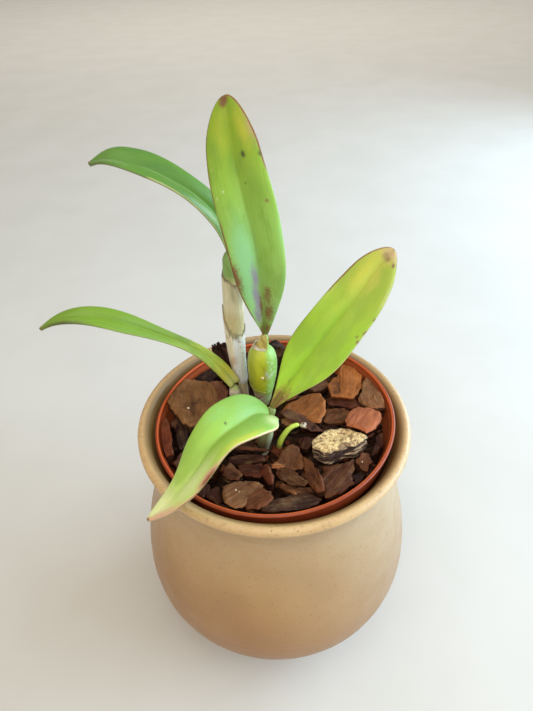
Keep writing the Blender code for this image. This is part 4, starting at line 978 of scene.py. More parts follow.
def slab_surface(row, foot, seed, grid):
    """A chip by its outline: broken edges, a flaked top face, and layered sides down to its foot."""
    kind, tone, level, rise_x, rise_y, corners = row
    face_colour, side_colour, rough = BARKS[kind]
    tilt = np.array((rise_x, rise_y))
    middle, ring = outline_ring(np.array(corners, float), grid)
    spread = np.array(corners, float) - middle
    long_way = np.linalg.eigh(spread.T @ spread)[1][:, 1]
    turn = np.array((long_way, (-long_way[1], long_way[0]))).T
    reach = np.linalg.norm(ring, axis=1)[:, None]
    edge = np.concatenate([ring, np.full((len(ring), 1), seed * 7.3)], 1)
    jag = 0.8 * noise(edge, 0.26, seed) + 0.45 * noise(edge, 0.7, seed + 1) + 0.2 * noise(edge, 1.5, seed + 2)
    ring = ring * (1 + (jag[:, None] - 0.25) / reach)
    outward = ring / reach

    rings = max(3, round(reach.max() / grid))
    steps = (np.arange(rings) + 1) / rings
    flat = np.concatenate([np.zeros((1, 2))] + [ring * step for step in steps])
    grain = np.insert(flat @ turn, 2, level, axis=1) + seed * GRAIN_SHIFT
    lift, shift = face_relief(grain, seed)
    rim = np.concatenate([[0.0], np.repeat(steps, len(ring))])
    near = ramp((1 - rim) * np.concatenate([[9.0], np.tile(reach[:, 0], rings)]), 1.8, 0.0)
    lift = rough * (lift - 0.35) * (1 - 0.5 * near) - 0.75 * near ** 2
    height = level + flat @ tilt + lift
    # Painted highlight: the face is lighter along its rim, partly worn edges and partly light caught by the
    # edges.
    tint = face_tint(face_colour, shift + 0.38 * near * (0.5 + noise(grain, 0.3, seed + 8)))
    # Painted shade in the hollows of the face.
    deep = np.clip(0.1 - 0.5 * lift / rough, 0, 0.9) * (1 - near)
    rows = [(np.concatenate([middle + flat, height[:, None]], 1), grain, deep, tint, 1 - near ** 4)]

    rim_height = height[-len(ring):] - level
    fall = level - foot
    drops = [d for d in (0.25, 0.7) if d < fall] + list(np.arange(1.3, fall, grid * 1.3)) + [fall]
    for drop in drops:
        share = drop / fall
        spot = ring * (1 - (1 - SLAB_FOOT_SHARE) * share)
        grain = np.insert(spot @ turn, 2, level - drop, axis=1) + seed * GRAIN_SHIFT
        lift, shift = side_relief(grain, seed)
        push = outward * (0.15 + rough * lift * ramp(drop, 0.0, 1.2))[:, None]
        height = level + (rim_height * (1 - share) - drop + share * (spot @ tilt))
        rub = ramp(drop, 1.0, 0.2)
        # The side colour is partly painted shade.
        tint = face_tint(side_colour, shift) * (1 - rub) + face_tint(face_colour, shift + 0.12) * rub
        # Painted shade in the hollows of the side.
        deep = np.clip(0.35 - 0.8 * lift, 0, 1.1) * (1 - rub)
        points = np.concatenate([middle + spot + push, height[:, None]], 1)
        rows.append((points, grain, deep, tint, np.zeros(len(spot))))
    points, grain, deep, tint, top = (np.concatenate(column) for column in zip(*rows))
    tint = np.clip(tint * (tone ** 2.2) * chip_tone(seed), 0, 1)
    return points, ring_cap_faces(rings + len(drops), len(ring)), grain, deep, tint, top


def face_tint(colour, change):
    return np.asarray(linear(colour)) * (1 + change)[:, None]


def ring_cap_faces(rings, size):
    """A fan round the first point, quads between the rings that follow, and a cap on the last ring."""
    faces = [(0, 1 + i, 1 + (i + 1) % size) for i in range(size)]
    for low in range(1, 1 + (rings - 1) * size, size):
        for i in range(size):
            j = (i + 1) % size
            faces.append((low + i, low + size + i, low + size + j, low + j))
    last = 1 + (rings - 1) * size
    faces.append(tuple(range(last + size - 1, last - 1, -1)))
    return faces


def chip_tone(seed):
    """A small shift of brightness that makes no two chips quite alike."""
    return 0.93 + 0.14 * float(lattice(np.array([seed, 7, 1]), 5))


def inside_pot(points):
    """Draws points in where they would pass through the grower's pot's wall."""
    depth = -points[:, 2]
    collar = NURSERY_LIP_RADIUS - COLLAR_INSET - COLLAR_DRAFT - NURSERY_WALL
    below = nursery_wall_radius(np.maximum(depth, COLLAR_DEPTH + 1)) - NURSERY_WALL
    limit = np.where(depth < COLLAR_DEPTH - 1, collar, below) - GAP
    reach = np.hypot(points[:, 0], points[:, 1])
    shrink = np.minimum(1, limit / np.maximum(reach, 1e-6))
    drawn = points.copy()
    drawn[:, :2] *= shrink[:, None]
    return drawn


def join(parts):
    """Several sets of points, faces and stored rows as one."""
    faces, start = [], 0
    for part in parts:
        faces += [[int(c) + start for c in f] for f in part[1]]
        start += len(part[0])
    return [np.concatenate([p[0] for p in parts]), faces] + [
        np.concatenate([p[i] for p in parts]) for i in range(2, len(parts[0]))
    ]


def loose_chip(rng, reach, angle, lift, length, width, thick, tilt, kind):
    """The row of a chip whose height, sizes and turns are drawn between limits."""
    drawn = [rng.uniform(*limits) for limits in (lift, length, width, thick, (0, 180), tilt, tilt)]
    return reach * math.cos(angle), reach * math.sin(angle), *drawn, kind


def bark_piece(name, parts, finish, sharp=None):
    """Many chips as one piece of the bed."""
    points, faces, grain, deep, tint = join(parts)
    piece(
        name, from_lip(inside_pot(points)), faces, finish, ["bark_bed"], "bark", sharp,
        grain=grain, deep=deep, tint=tint,
    )


def build_bark_bed():
    """All chips of the bed, by the rules that the solid follows, over a floor of crumbs."""
    slabs = [
        slab_surface(row, SLAB_FOOT - SLAB_FOOT_STEP * i, i, SLAB_GRID)[:5] for i, row in enumerate(SLABS)
    ]
    for i, (row, thick) in enumerate(FLAKES):
        slabs.append(slab_surface(row, row[2] - thick, FLAKE_SEED + i, FLAKE_GRID)[:5])
    rng = random.Random(BARK_SEED)
    chips = [chip_surface(rng, row, PLACED_GRID, PLACED_SEED + i) for i, row in enumerate(PLACED_CHIPS)]
    kinds = ("umber", "brown", "rust", "plum", "umber", "brown", "umber")
    for i in range(SMALL_CHIPS):
        reach = SMALL_CHIP_REACH * math.sqrt((i + 0.5) / SMALL_CHIPS)
        row = loose_chip(
            rng, reach, i * GOLDEN_ANGLE, (-3.5, -1.5), (10, 15), (7, 11), (5, 7), (-22, 22),
            kinds[i % len(kinds)],
        )
        chips.append(chip_surface(rng, row, SMALL_GRID, SMALL_SEED + i))
    chips.append(chip_surface(rng, STANDING_CHIP, STANDING_GRID, STANDING_SEED))
    for grain in GRAINS:
        points, faces, grain, tint = bead_surface(*grain, GRAIN_COLOUR)
        chips.append((points, faces, grain, np.zeros(len(points)), tint))
    finish = bark("bark")
    bark_piece("bark_chips_left", slabs[:LEFT_SLABS], finish, CHIP_SHARP)
    bark_piece("bark_chips_right", slabs[LEFT_SLABS:], finish, CHIP_SHARP)
    bark_piece("bark_chips", chips, finish, CHIP_SHARP)
    build_bark_floor()


def build_bark_floor():
    """The filled bed under the chips, strewn with crumbs of bark."""
    top = -BARK_BELOW_LIP - BED_SINK
    wall = NURSERY_WALL + GAP
    side = [(nursery_wall_radius(d) - wall, -d) for d in (NURSERY_WALL_END, 60, 30, -top + 0.5)]
    rings = [(r, top) for r in np.linspace(53, 4, 22)]
    foot = wall - NURSERY_HEIGHT
    points, faces = turned([(0, foot), (NURSERY_BASE_RADIUS - 4.3, foot)] + side + rings + [(0, top)], 96)
    upper = points[:, 2] > top - 0.1
    points[upper, 2] += 1.3 * noise(points[upper], 0.22, 31) + 0.5 * noise(points[upper], 0.7, 32) - 0.6
    parts = [(points, faces, points, np.zeros(len(points)), np.tile(linear((52, 32, 24)), (len(points), 1)))]
    rng = random.Random(BARK_SEED + 2)
    kinds = ("umber", "brown", "rust", "tan", "umber", "plum")
    for i in range(CRUMBS):
        reach = CRUMB_REACH * math.sqrt(rng.random())
        row = loose_chip(
            rng, reach, rng.uniform(0, 2 * math.pi), (-3.2, -1.2), (3, 7), (2, 4), (1.5, 2.6), (-30, 30),
            kinds[i % len(kinds)],
        )
        parts.append(chip_surface(rng, row, CRUMB_GRID, CRUMB_SEED + i, CRUMB_RELIEF))
    bark_piece("bark_crumbs", parts, bark("bark_floor", 0.75))


def build_own_chip(name, row, thick, node, finish, seed):
    """A chip that is a piece of its own and lies on the bed."""
    points, faces, grain, deep, tint, top = slab_surface(row, row[2] - thick, seed, OWN_CHIP_GRID)
    piece(
        name, from_lip(points), faces, finish, [node], name, CHIP_SHARP,
        grain=grain, deep=deep, tint=tint, top=top,
    )


def build_toothed_chip():
    """A dark chip on end behind the cane, whose frayed top stands up in blunt prongs."""
    foot = np.array(TOOTHED_FOOT)
    up = unit(np.array(TOOTHED_UP))
    side = unit(np.array(TOOTHED_SIDE))
    out = unit(np.cross(side, up))
    top_line = np.array(profile_curve(TOOTHED_TOP, 9))
    cube, faces = box_grid([22, 5, 40])
    share = (cube + 1) / 2
    left, right = np.array(TOOTHED_LEFT_EDGE), np.array(TOOTHED_RIGHT_EDGE)
    x_low, x_high = (left[i, 0] + (right[i, 0] - left[i, 0]) * share[:, 0] for i in (0, -1))
    x = x_low + (x_high - x_low) * np.minimum(1, share[:, 2] * 1.5)
    y = np.interp(x_high, *top_line.T) * share[:, 2] - 1.6 * share[:, 2] ** 8
    squeeze = (1 - 0.55 * np.abs(cube[:, 0]) ** 6) * (1 - 0.45 * share[:, 2] ** 10)
    z = TOOTHED_THICK / 2 * cube[:, 1] * squeeze
    grain = np.stack([y, x, z], 1) + 500
    relief = 0.5 * noise(grain * (0.2, 1, 1), 0.55, 61) + 0.35 * noise(grain, 0.3, 62)
    z = z + relief * np.sign(cube[:, 1]) * (np.abs(cube[:, 1]) > 0.9)
    points = foot + x[:, None] * side + y[:, None] * up + z[:, None] * out
    tint = blend(np.clip(0.5 + 0.5 * relief, 0, 1), (40, 24, 22), (78, 48, 42))
    # The stored hollow shade is painted shade where the relief is low.
    parts = [(points, faces, grain, np.clip(0.4 - relief, 0, 1), tint)]
    for i in range(PRONGS):
        spot = -3.4 + 10.0 * i / (PRONGS - 1)
        height = np.interp(spot, *top_line.T) - 1.6
        lean = 0.35 * (spot - 1.5) / 5 + 0.12 * math.sin(3.1 * i)
        start = foot + spot * side + height * up + 0.6 * math.sin(2.3 * i) * out
        way = unit(up + lean * side) * (2.6 + 0.7 * math.sin(1.7 * i + 1))
        rows = [(start + way * t, r) for t, r in ((-0.6, 0.75), (0.0, 0.7), (0.6, 0.62), (1.0, 0.42))]
        points, faces, grain = stem_surface(rows, 10, 12)[:3]
        tint = np.tile(linear((46, 28, 25)), (len(points), 1))
        parts.append((points, faces, grain + 40 * i, np.full(len(points), 0.2), tint))
    points, faces, grain, deep, tint = join(parts)
    piece(
        "toothed_bark", from_rim(points), faces, bark("dark_bark", 0.8), ["bark_chip_toothed"], "dark_bark",
        grain=grain, deep=deep, tint=tint,
    )


def stem_frame(stations, places):
    """Centre line, girth and two side directions of a stem, at shares of its length."""
    centres = np.array([s[0] for s in stations], float)
    radii = np.array([[s[1]] for s in stations], float)
    knots = chord_places(centres)
    line = natural_spline(knots, centres, places)
    girth = natural_spline(knots, radii, places)[:, 0]
    along = unit(natural_spline(knots, centres, np.minimum(places + 0.004, 1.004)) - line)
    side = unit(np.cross(along, (0.0, 1.0, 0.15)))
    return line, girth, side, np.cross(side, along)


def tube_faces(rings, sides):
    """Quads between rings, with a cap on the first ring and on the last."""
    faces = []
    for low in range(0, (rings - 1) * sides, sides):
        for i in range(sides):
            j = (i + 1) % sides
            faces.append((low + i, low + j, low + sides + j, low + sides + i))
    faces.append(tuple(range(sides - 1, -1, -1)))
    faces.append(tuple(range((rings - 1) * sides, rings * sides)))
    return faces


def stem_surface(stations, sides, rings, ridge=0.0, ridges=0, seed=0):
    """A stem with round ends: points, faces, grain, share of the length, and how far right and front."""
    t = np.linspace(0, 1, rings)
    line, girth, side, up = stem_frame(stations, t)
    length = np.linalg.norm(np.diff(line, axis=0), axis=1).sum()
    a, s = np.meshgrid(np.arange(sides) * 2 * math.pi / sides, t)
    ends = np.sqrt(np.clip(np.minimum(s * length, (1 - s) * length) / np.maximum(girth[:, None], 0.1), 0, 1))
    grain = np.stack([a * girth[:, None], s * length, np.zeros_like(a)], -1)
    ring = np.stack([np.cos(a) * 4, np.sin(a) * 4, s * length * 0.12], -1)
    wave = 0.6 * np.sin(ridges * a + 2 * noise(ring, 0.5, seed)) + noise(ring, 1.1, seed + 1)
    reach = girth[:, None] * (0.35 + 0.65 * ends) + ridge * wave
    points = line[:, None] + reach[..., None] * (
        np.cos(a)[..., None] * side[:, None] + np.sin(a)[..., None] * up[:, None]
    )
    return (
        points.reshape(-1, 3), tube_faces(rings, sides), grain.reshape(-1, 3), s.ravel(),
        -np.cos(a).ravel(), -np.sin(a).ravel(),
    )


def sheath_surface(stations, sides, rings, stretch, thick, seed, crumple=0.25, off=0.12, span=None, tilt=0.0):
    """A papery tube round a stem, or a part of one, torn at its top: points, faces, grain, distance
    from the torn edge, share of the height, and how far right and front."""
    start, stop, slant, flare = stretch
    if span:
        angle = np.linspace(span[0], span[1], sides) * math.pi / 8
    else:
        angle = np.arange(sides) * 2 * math.pi / sides
    ring = np.stack([np.cos(angle) * 4, np.sin(angle) * 4, np.full(sides, seed * 9.1)], 1)
    tear = 0.35 * noise(ring, 0.45, seed) + 0.45 * noise(ring, 1.6, seed + 1) + 0.25 * noise(ring, 4, seed + 2)
    top = stop + slant * (np.cos(angle - 0.6) + tear)
    length = np.linalg.norm(np.diff([s[0] for s in stations], axis=0), axis=1).sum()
    rows = []
    for outer in (False, True):
        for t in np.arange(rings) / (rings - 1):
            places = start + (top - start) * t - tilt * np.minimum(np.sin(angle), 0)
            line, girth, side, up = stem_frame(stations, places)
            spot = np.stack([ring[:, 0], ring[:, 1], places * length * 0.10], 1)
            wrinkle = crumple * (0.6 * noise(spot, 0.9, seed + 3) + 0.4 * noise(spot, 2.2, seed + 4))
            curl = flare * t ** 2 + 0.5 * slant / 0.03 * ramp(t, 0.8, 1.0) * np.maximum(tear, 0)
            rise = ramp(t, 0.0, 0.14)
            reach = girth + (off + thick * outer + wrinkle) * rise - 0.35 * (1 - rise)
            reach = reach + curl - 0.06 * (1 - outer)
            around = np.cos(angle)[:, None] * side + np.sin(angle)[:, None] * up
            grain = np.stack([angle * girth, places * length, np.full(sides, 20.0 * outer)], 1)
            rows.append((
                line + reach[:, None] * around, grain, (top - places) * length, np.full(sides, t),
                -np.cos(angle), -np.sin(angle),
            ))
    points, *stored = (np.concatenate(column) for column in zip(*rows))
    return points, shell_faces(rings, sides, span is None), *stored


def shell_faces(rings, columns, closed):
    """Faces of an inner and an outer wall, joined at the bottom, at the top and at any free sides."""
    outer = rings * columns
    faces = []
    for i in range(columns if closed else columns - 1):
        j = (i + 1) % columns
        for r in range(rings - 1):
            low, high = r * columns, (r + 1) * columns
            faces.append((low + j, low + i, high + i, high + j))
            faces.append((outer + low + i, outer + low + j, outer + high + j, outer + high + i))
        last = (rings - 1) * columns
        faces.append((i, j, outer + j, outer + i))
        faces.append((last + j, last + i, outer + last + i, outer + last + j))
    if not closed:
        for i, turn in ((0, 1), (columns - 1, -1)):
            for r in range(rings - 1):
                low, high = r * columns + i, (r + 1) * columns + i
                faces.append((low, outer + low, outer + high, high)[::turn])
    return faces


def build_cane(papery):
    """Old cane: green at its neck, with two dry sheaths whose upper edges are torn."""
    surface = stem_surface(CANE, 40, 110, 0.10, 7, 1)
    grain, share, right = surface[2:5]
    tint = layered(
        streaked(grain, 0.12, 0.4, 2, (206, 192, 140), (234, 222, 178)),
        (0.6 * ramp(right, 0.0, 0.8), (150, 146, 92)),
        (ramp(share, 0.83, 0.90), (138, 176, 92)),
        (ramp(share, 0.16, 0.08), (206, 186, 150)),
    )
    plant_piece("cane_stem", surface, tint, skin("cane_skin", 0.42, 1.4, 0.10), "cane", "bulb_green")

    surface = sheath_surface(CANE, 72, 90, CANE_SHEATH_LOWER, 0.5, 4)
    grain, edge, rise, right = surface[2:6]
    veil = streaks(grain, 0.10, 0.45, 7)
    band = ramp(edge, 4.6, 2.8) * ramp(right, 0.6, 0.3) + ramp(edge, 1.2, 0.3)
    stain = ramp(noise(grain * (1, 0.35, 1), 0.35, 9), 0.2, 0.7) * ramp(right, 0.35, -0.3)
    # The near-white stripe on the right is partly the sheath's silvery colour and partly a painted highlight
    # of the window light.
    tint = layered(
        blend(veil, (248, 234, 198), (255, 252, 238)),
        (ramp(right + 0.15 * veil, -0.3, 0.05) * ramp(edge, 1.5, 3.5), (246, 252, 255)),
        (0.5 * ramp(rise, 0.12, 0.0), (214, 190, 156)),
        (0.85 * np.minimum(band, 1) * (0.75 + 0.25 * veil), (112, 122, 66)),
        (0.5 * stain, (190, 142, 92)),
        (0.6 * ramp(noise(grain, 0.9, 10), 0.62, 0.75) * ramp(rise, 0.3, 0.7), (146, 98, 62)),
    )
    plant_piece("cane_sheath_low", surface, tint, papery, "cane_sheath_lower", "papery")

    surface = sheath_surface(CANE, 72, 44, CANE_SHEATH_UPPER, 0.45, 5)
    grain, edge, rise, right, front = surface[2:]
    lines = streaks(grain, 0.05, 0.9, 18)
    high = ramp(rise, 0.62, 0.8)
    streak = np.exp(-((right - 0.5 + 0.5 * rise) / 0.3) ** 2) * high * (front > -0.2)
    # Painted shadow: the right side near the top is darkened in streaks.
    tint = layered(
        streaked(grain, 0.10, 0.45, 17, (222, 212, 172), (246, 240, 214)),
        (0.8 * ramp(right, 0.3, 0.7) * (0.4 + 0.6 * lines) * high, (118, 102, 68)),
        (0.7 * ramp(rise, 0.6, 0.4), (204, 188, 128)),
        (0.75 * streak * (0.5 + 0.5 * lines), (104, 100, 62)),
        (0.15 * ramp(noise(grain * (1, 0.1, 1), 0.5, 19), 0.3, 0.7), (106, 86, 70)),
        (0.8 * ramp(edge, 1.6, 0.2), (120, 100, 70)),
    )
    plant_piece("cane_sheath_high", surface, tint, papery, "cane_sheath_upper", "papery")


def build_green_bulb(papery):
    """Plump green bulb with a neck, fine furrows, a rusty stain, scale marks and a bead of dried sap."""
    surface = stem_surface(GREEN_BULB, 64, 120, 0.16, 5, 21)
    grain, share, right, front = surface[2:]
    ragged = streaks(grain, 0.35, 0.9, 24)
    stain = np.exp(-((right - 0.16) / 0.10) ** 2) * ramp(share, 0.46, 0.54) * ramp(share, 0.78, 0.62)
    scar = np.exp(-((right - 0.30) / 0.10) ** 2 - ((share - 0.60) / 0.035) ** 2)
    golden = ramp(share, 0.84, 0.87) * ramp(right, 0.9, 0.4)
    specks = ramp(noise(grain, 1.2, 25), 0.56, 0.72) * ramp(right, 0.2, 0.5) * ramp(share, 0.84, 0.7)
    # Painted light: the right side is mixed towards a paler mint green with a bluish-green edge, a painted
    # highlight of the window light, and the left side towards a darker yellow-green, painted shade.
    tint = layered(
        streaked(grain, 0.2, 0.3, 23, (188, 200, 40), (212, 218, 62)),
        (ramp(right, 0.12, 0.55), (164, 212, 98)),
        (0.9 * ramp(right, -0.25, -0.75), (170, 182, 58)),
        (0.6 * ramp(right, 0.7, 0.95), (140, 190, 92)),
        (0.8 * stain * (front > 0) * ragged, (150, 92, 40)),
        (0.75 * scar * (front > 0), (214, 222, 224)),
        (ramp(share, 0.36, 0.20), (178, 164, 110)),
        (golden, (206, 186, 104)),
        (0.8 * golden * ramp(ragged, 0.45, 0.7), (166, 136, 64)),
        (0.85 * specks, (232, 240, 226)),
    )
    bead = bead_surface((-5.3, 9.6, 18.4), 0.85, (228, 208, 150))
    *surface, tint = join([(*surface[:3], tint), bead])
    finish = skin("bulb_skin", 0.36, 1.1, 0.10, 0.15, (112, 120, 40))
    plant_piece("green_bulb_skin", surface, tint, finish, "green_bulb", "bulb_green")

    surface = sheath_surface(GREEN_BULB, 80, 34, BULB_SHEATH, 0.28, 6, 0.3, 0.04)
    grain, edge, rise, right = surface[2:6]
    top = 0.9 * ramp(edge, 4.0, 0.5)
    tint = layered(
        streaked(grain, 0.12, 0.7, 27, (164, 140, 100), (240, 230, 200)),
        (0.8 * ramp(right, -0.1, 0.5), (164, 192, 110)),
        (top, (186, 194, 56)),
        (top * ramp(right, 0.1, 0.5), (156, 200, 96)),
        (0.5 * ramp(rise, 0.35, 0.0), (160, 150, 100)),
    )
    finish = skin("fibrous", 0.6, 2.6, 0.22, 0.45, (120, 96, 64))
    plant_piece("green_bulb_base_sheath", surface, tint, finish, "green_bulb_sheath", "papery")

    surface = sheath_surface(
        GREEN_BULB, 80, 16, BULB_COLLAR, 0.35, 8, 0.3, span=COLLAR_SPAN, tilt=COLLAR_TILT,
    )
    grain, right = surface[2], surface[5]
    tint = layered(
        streaked(grain, 0.3, 0.7, 29, (216, 198, 162), (250, 244, 228)),
        (0.6 * ramp(-right, 0.75, 1.0), (140, 112, 86)),
    )
    plant_piece("green_bulb_shoulder", surface, tint, papery, "green_bulb_collar", "papery")


def bead_surface(centre, radius, colour):
    """A small drop that clings to a surface, as points, faces, grain and colour."""
    cube, faces = box_grid([6, 6, 6])
    points = np.array(centre) + unit(cube) * radius * (1 + 0.12 * noise(cube * 2, 1.0, 77))[:, None]
    return points, faces, points, np.tile(linear(colour), (len(points), 1))


def build_small_bulb(name, stations, shape, streak, low, far, finish, slot, painted_highlight=0.0):
    """A short bulb under a leaf, whose colour changes at one end, with a painted highlight towards the right.
    """
    surface = stem_surface(stations, 40, *shape)
    grain, share, right = surface[2:5]
    tint = layered(
        streaked(grain, *streak), (ramp(share, *low), far), (painted_highlight * ramp(right, 0.3, 0.8), (206, 214, 180)),
    )
    plant_piece(name + "_skin", surface, tint, finish, name, slot)


def build_small_bulbs(papery):
    """The short bulbs under the front, right and left leaves."""
    build_small_bulb(
        "front_bulb", FRONT_BULB, (60, 0.32, 6, 31), (0.15, 0.6, 33, (124, 138, 78), (172, 184, 128)),
        (0.62, 0.3), (104, 84, 58), skin("front_bulb_skin", 0.55, 1.6, 0.15, 0.3), "bulb_green", 0.4,
    )
    build_small_bulb(
        "right_bulb", RIGHT_BULB, (60, 0.22, 5, 35), (0.15, 0.5, 37, (136, 158, 78), (176, 186, 112)),
        (0.5, 0.2), (112, 92, 66), skin("right_bulb_skin", 0.5, 1.4, 0.12, 0.25), "bulb_green",
    )
    build_small_bulb(
        "left_bulb", LEFT_BULB, (50, 0.3, 7, 39), (0.2, 0.6, 41, (176, 158, 122), (222, 212, 184)),
        (0.86, 0.98), (166, 176, 104), papery, "papery",
    )


def build_new_shoot():
    """Fresh green shoot that bends out of the bark, with a small crumpled knob at its end."""
    surface = stem_surface(NEW_SHOOT, 28, 90, 0.05, 4, 43)
    share = surface[3]
    tint = blend(share, (172, 192, 52), (196, 216, 84))
    tint = blend(ramp(share, 0.45, 0.3), tint, (134, 124, 62))
    finish = skin("shoot_skin", 0.4, 2.0, 0.05, 0.15)
    plant_piece("shoot", surface, tint, finish, "new_shoot", "leaf_green")
    lumps = [bead_surface(np.add(SHOOT_KNOB, offset), *look) for offset, *look in KNOB_LUMPS]
    points, faces, grain, tint = join(lumps)
    finish = skin("knob_skin", 0.7, 2.4, 0.12, 0.4, (84, 62, 50))
    plant_piece("shoot_knob", (points, faces, grain * 3), tint, finish, "new_shoot_knob", "papery")


# Marks on leaves, from the lowest to the highest: place in the stored rows, colour, raggedness
# The painted sheen marks are a painted reflection of the bluish window light on the waxy face.
LEAF_MARKS = {
    "painted_sheen": (4, (142, 196, 128), 0.5), "yellow": (5, (206, 200, 72), 0.5), "pale": (6, (226, 228, 172), 0.3),
    "edge": (7, (224, 214, 150), 0.4), "pink": (8, (206, 160, 132), 0.7), "purple": (1, (146, 140, 146), 1.3),
    "brown": (0, (132, 92, 60), 1.9), "red": (3, (134, 74, 50), 0.8), "dark": (2, (70, 64, 40), 0.7),
}

# Leaves: stations, look, marks of each kind (share of the length, place across from -1 to 1, length,
# width, strength) and margins (kind, side, first and last share of the length, width, strength)
LEAVES = {
    "leaf_upright": {
        "stations": UPRIGHT_LEAF, "slot": "leaf_green", "wave": (0.5, 3.2),
        "colours": ((160, 196, 112), (150, 192, 84), (150, 178, 40), (124, 162, 54), (140, 184, 92),
         (150, 166, 92)),
        "marks": {
            "dark": ((0.82, 0.35, 1.5, 1.1, 0.9), (0.816, 0.93, 1.6, 1, 0.7), (0.72, 0.2, 0.6, 0.5, 0.9),
             (0.603, -0.15, 0.6, 0.5, 0.9), (0.79, 0.22, 5, 1.5, 0.3)),
            "brown": ((0.985, -0.3, 2.2, 2, 0.9), (0.644, 0.73, 0.9, 0.9, 0.8), (0.135, 0.34, 8, 2.8, 0.8),
             (0.225, 0.24, 7, 2.6, 0.7), (0.36, -0.97, 11, 3, 0.85), (0.03, 0, 7, 6, 0.75),
             (0.16, -0.12, 9, 1.2, 0.8)),
            "purple": ((0.215, -0.3, 13, 2.3, 0.95), (0.33, -0.22, 9, 2.2, 0.85), (0.13, -0.5, 7, 2.2, 0.8)),
            "painted_sheen": ((0.42, -0.45, 22, 6, 0.95), (0.3, -0.6, 18, 5, 0.9), (0.16, -0.7, 12, 4, 0.6),
             (0.48, 0.95, 16, 2.2, 0.4), (0.3, 0.92, 18, 2.6, 0.4), (0.14, 0.8, 12, 3, 0.5)),
            "yellow": ((0.9, 0.6, 10, 3.5, 0.6), (0.9, -0.35, 14, 5, 0.4)),
            "pink": ((0.9, 0.9, 9, 1.8, 0.5),),
            "pale": ((0.707, -0.6, 0.5, 0.5, 1), (0.69, -0.85, 0.5, 0.5, 1), (0.78, -0.85, 0.4, 0.4, 1)),
        },
        "margins": (("red", 1, 0.74, 1, 0.8, 0.8), ("red", -1, 0.1, 0.62, 1, 0.75),
         ("red", -1, 0.62, 1, 0.8, 0.6)),
    },
    "leaf_right": {
        "stations": RIGHT_LEAF, "slot": "leaf_green", "wave": (0.45, 2.4),
        "colours": ((166, 204, 54), (156, 190, 48), (184, 182, 70), (138, 170, 48), (142, 170, 50),
         (148, 164, 84)),
        "marks": {
            "brown": ((0.946, 0.15, 1.7, 1.5, 0.6), (0.937, 0.65, 1.4, 1.3, 0.8),
             (0.95, -0.22, 2.6, 2.2, 0.5), (0.674, 0.95, 1.3, 1, 0.8), (0.594, 0.95, 2.2, 1.1, 0.8),
             (0.54, 0.95, 1.6, 1.1, 0.7), (0.56, 0.8, 0.8, 0.8, 0.8), (0.15, -0.12, 5, 1.4, 0.5),
             (0.08, 0.07, 5, 2.6, 0.8), (0.05, 0, 9, 5, 0.95)),
            "yellow": ((0.82, -0.4, 16, 7, 0.6), (0.08, -0.1, 9, 5, 0.6), (0.6, -0.45, 22, 6, 0.35)),
            "pink": ((0.985, 0, 6, 9, 0.6),),
            "pale": ((0.8, 0.9, 16, 1.6, 0.4),),
        },
        "margins": (("red", -1, 0.62, 1, 0.8, 0.7), ("red", 1, 0.9, 1, 0.9, 0.7),
         ("edge", 1, 0.1, 0.84, 1, 0.5), ("red", -1, 0, 0.55, 0.5, 0.5), ("red", 1, 0.15, 0.9, 0.35, 0.6)),
    },
    "leaf_front": {
        "stations": FRONT_LEAF, "slot": "leaf_green", "wave": (0.35, 2.0), "lobe": 1.7,
        "colours": ((134, 178, 82), (154, 192, 74), (200, 222, 118), (142, 180, 68), (146, 178, 84),
         (160, 178, 104)),
        "marks": {
            "dark": ((0.347, 0.23, 0.9, 0.8, 1),),
            "painted_sheen": ((0.14, 0.45, 13, 10, 0.35), (0.34, 0.65, 12, 6, 0.4)),
            "pale": ((0.92, 0.2, 14, 9, 0.7), (0.08, -0.7, 9, 5, 0.6), (0.68, -0.45, 16, 6, 0.55)),
            "yellow": ((0.55, -0.6, 12, 4, 0.25), (0.4, -0.85, 16, 2.5, 0.6)),
            "pink": ((0.93, -0.9, 14, 2.5, 0.8), (0.62, -0.97, 6, 2.4, 1)),
            "brown": ((1, 0, 1.2, 1, 1),),
            "red": ((0.62, -1, 5, 1.6, 0.9),),
        },
        "margins": (("edge", -1, 0, 0.5, 1.2, 0.8), ("edge", -1, 0.5, 0.85, 1.2, 0.6),
         ("pink", -1, 0.1, 1, 0.7, 0.8), ("red", -1, 0.3, 0.85, 0.4, 0.6), ("red", 1, 0.1, 0.95, 0.4, 0.4)),
    },
    # The left leaf's base is bright yellow-green, partly its own colour and partly a painted highlight.
    "leaf_left": {
        "stations": LEFT_LEAF, "slot": "leaf_green", "wave": (0.2, 2.0),
        "colours": ((206, 220, 96), (119, 152, 38), (116, 148, 40), (98, 134, 40), (150, 182, 84),
         (112, 104, 54)),
        "marks": {
            "pale": ((0.02, 0, 9, 6, 0.5),),
            "yellow": ((0.05, 0, 14, 8, 0.8),),
            "brown": ((1, 0, 2.2, 2, 0.8),),
            "dark": ((0.88, -0.95, 13, 1.5, 0.65),),
        },
        "margins": (("edge", -1, 0.1, 0.75, 0.8, 0.35), ("red", -1, 0.7, 1, 0.4, 0.4),
         ("edge", 1, 0.3, 1, 0.6, 0.3)),
    },
    "leaf_on_cane": {
        "stations": CANE_LEAF, "slot": "old_leaf_green", "wave": (0.3, 2.0),
        "colours": ((98, 138, 52), (86, 128, 40), (92, 132, 44), (72, 114, 38), (140, 178, 108),
         (106, 120, 64)),
        "marks": {
            "pale": ((0.6, -0.35, 22, 1.4, 0.35), (0.88, -0.7, 14, 2.2, 0.3)),
            "brown": ((1, 0, 1.6, 1.5, 0.8),),
            "yellow": ((0.25, -0.6, 18, 4, 0.3),),
        },
        "margins": (("edge", -1, 0, 0.7, 1, 0.5), ("red", -1, 0.5, 1, 0.4, 0.4),
         ("red", 1, 0.8, 1, 0.5, 0.5)),
    },
}


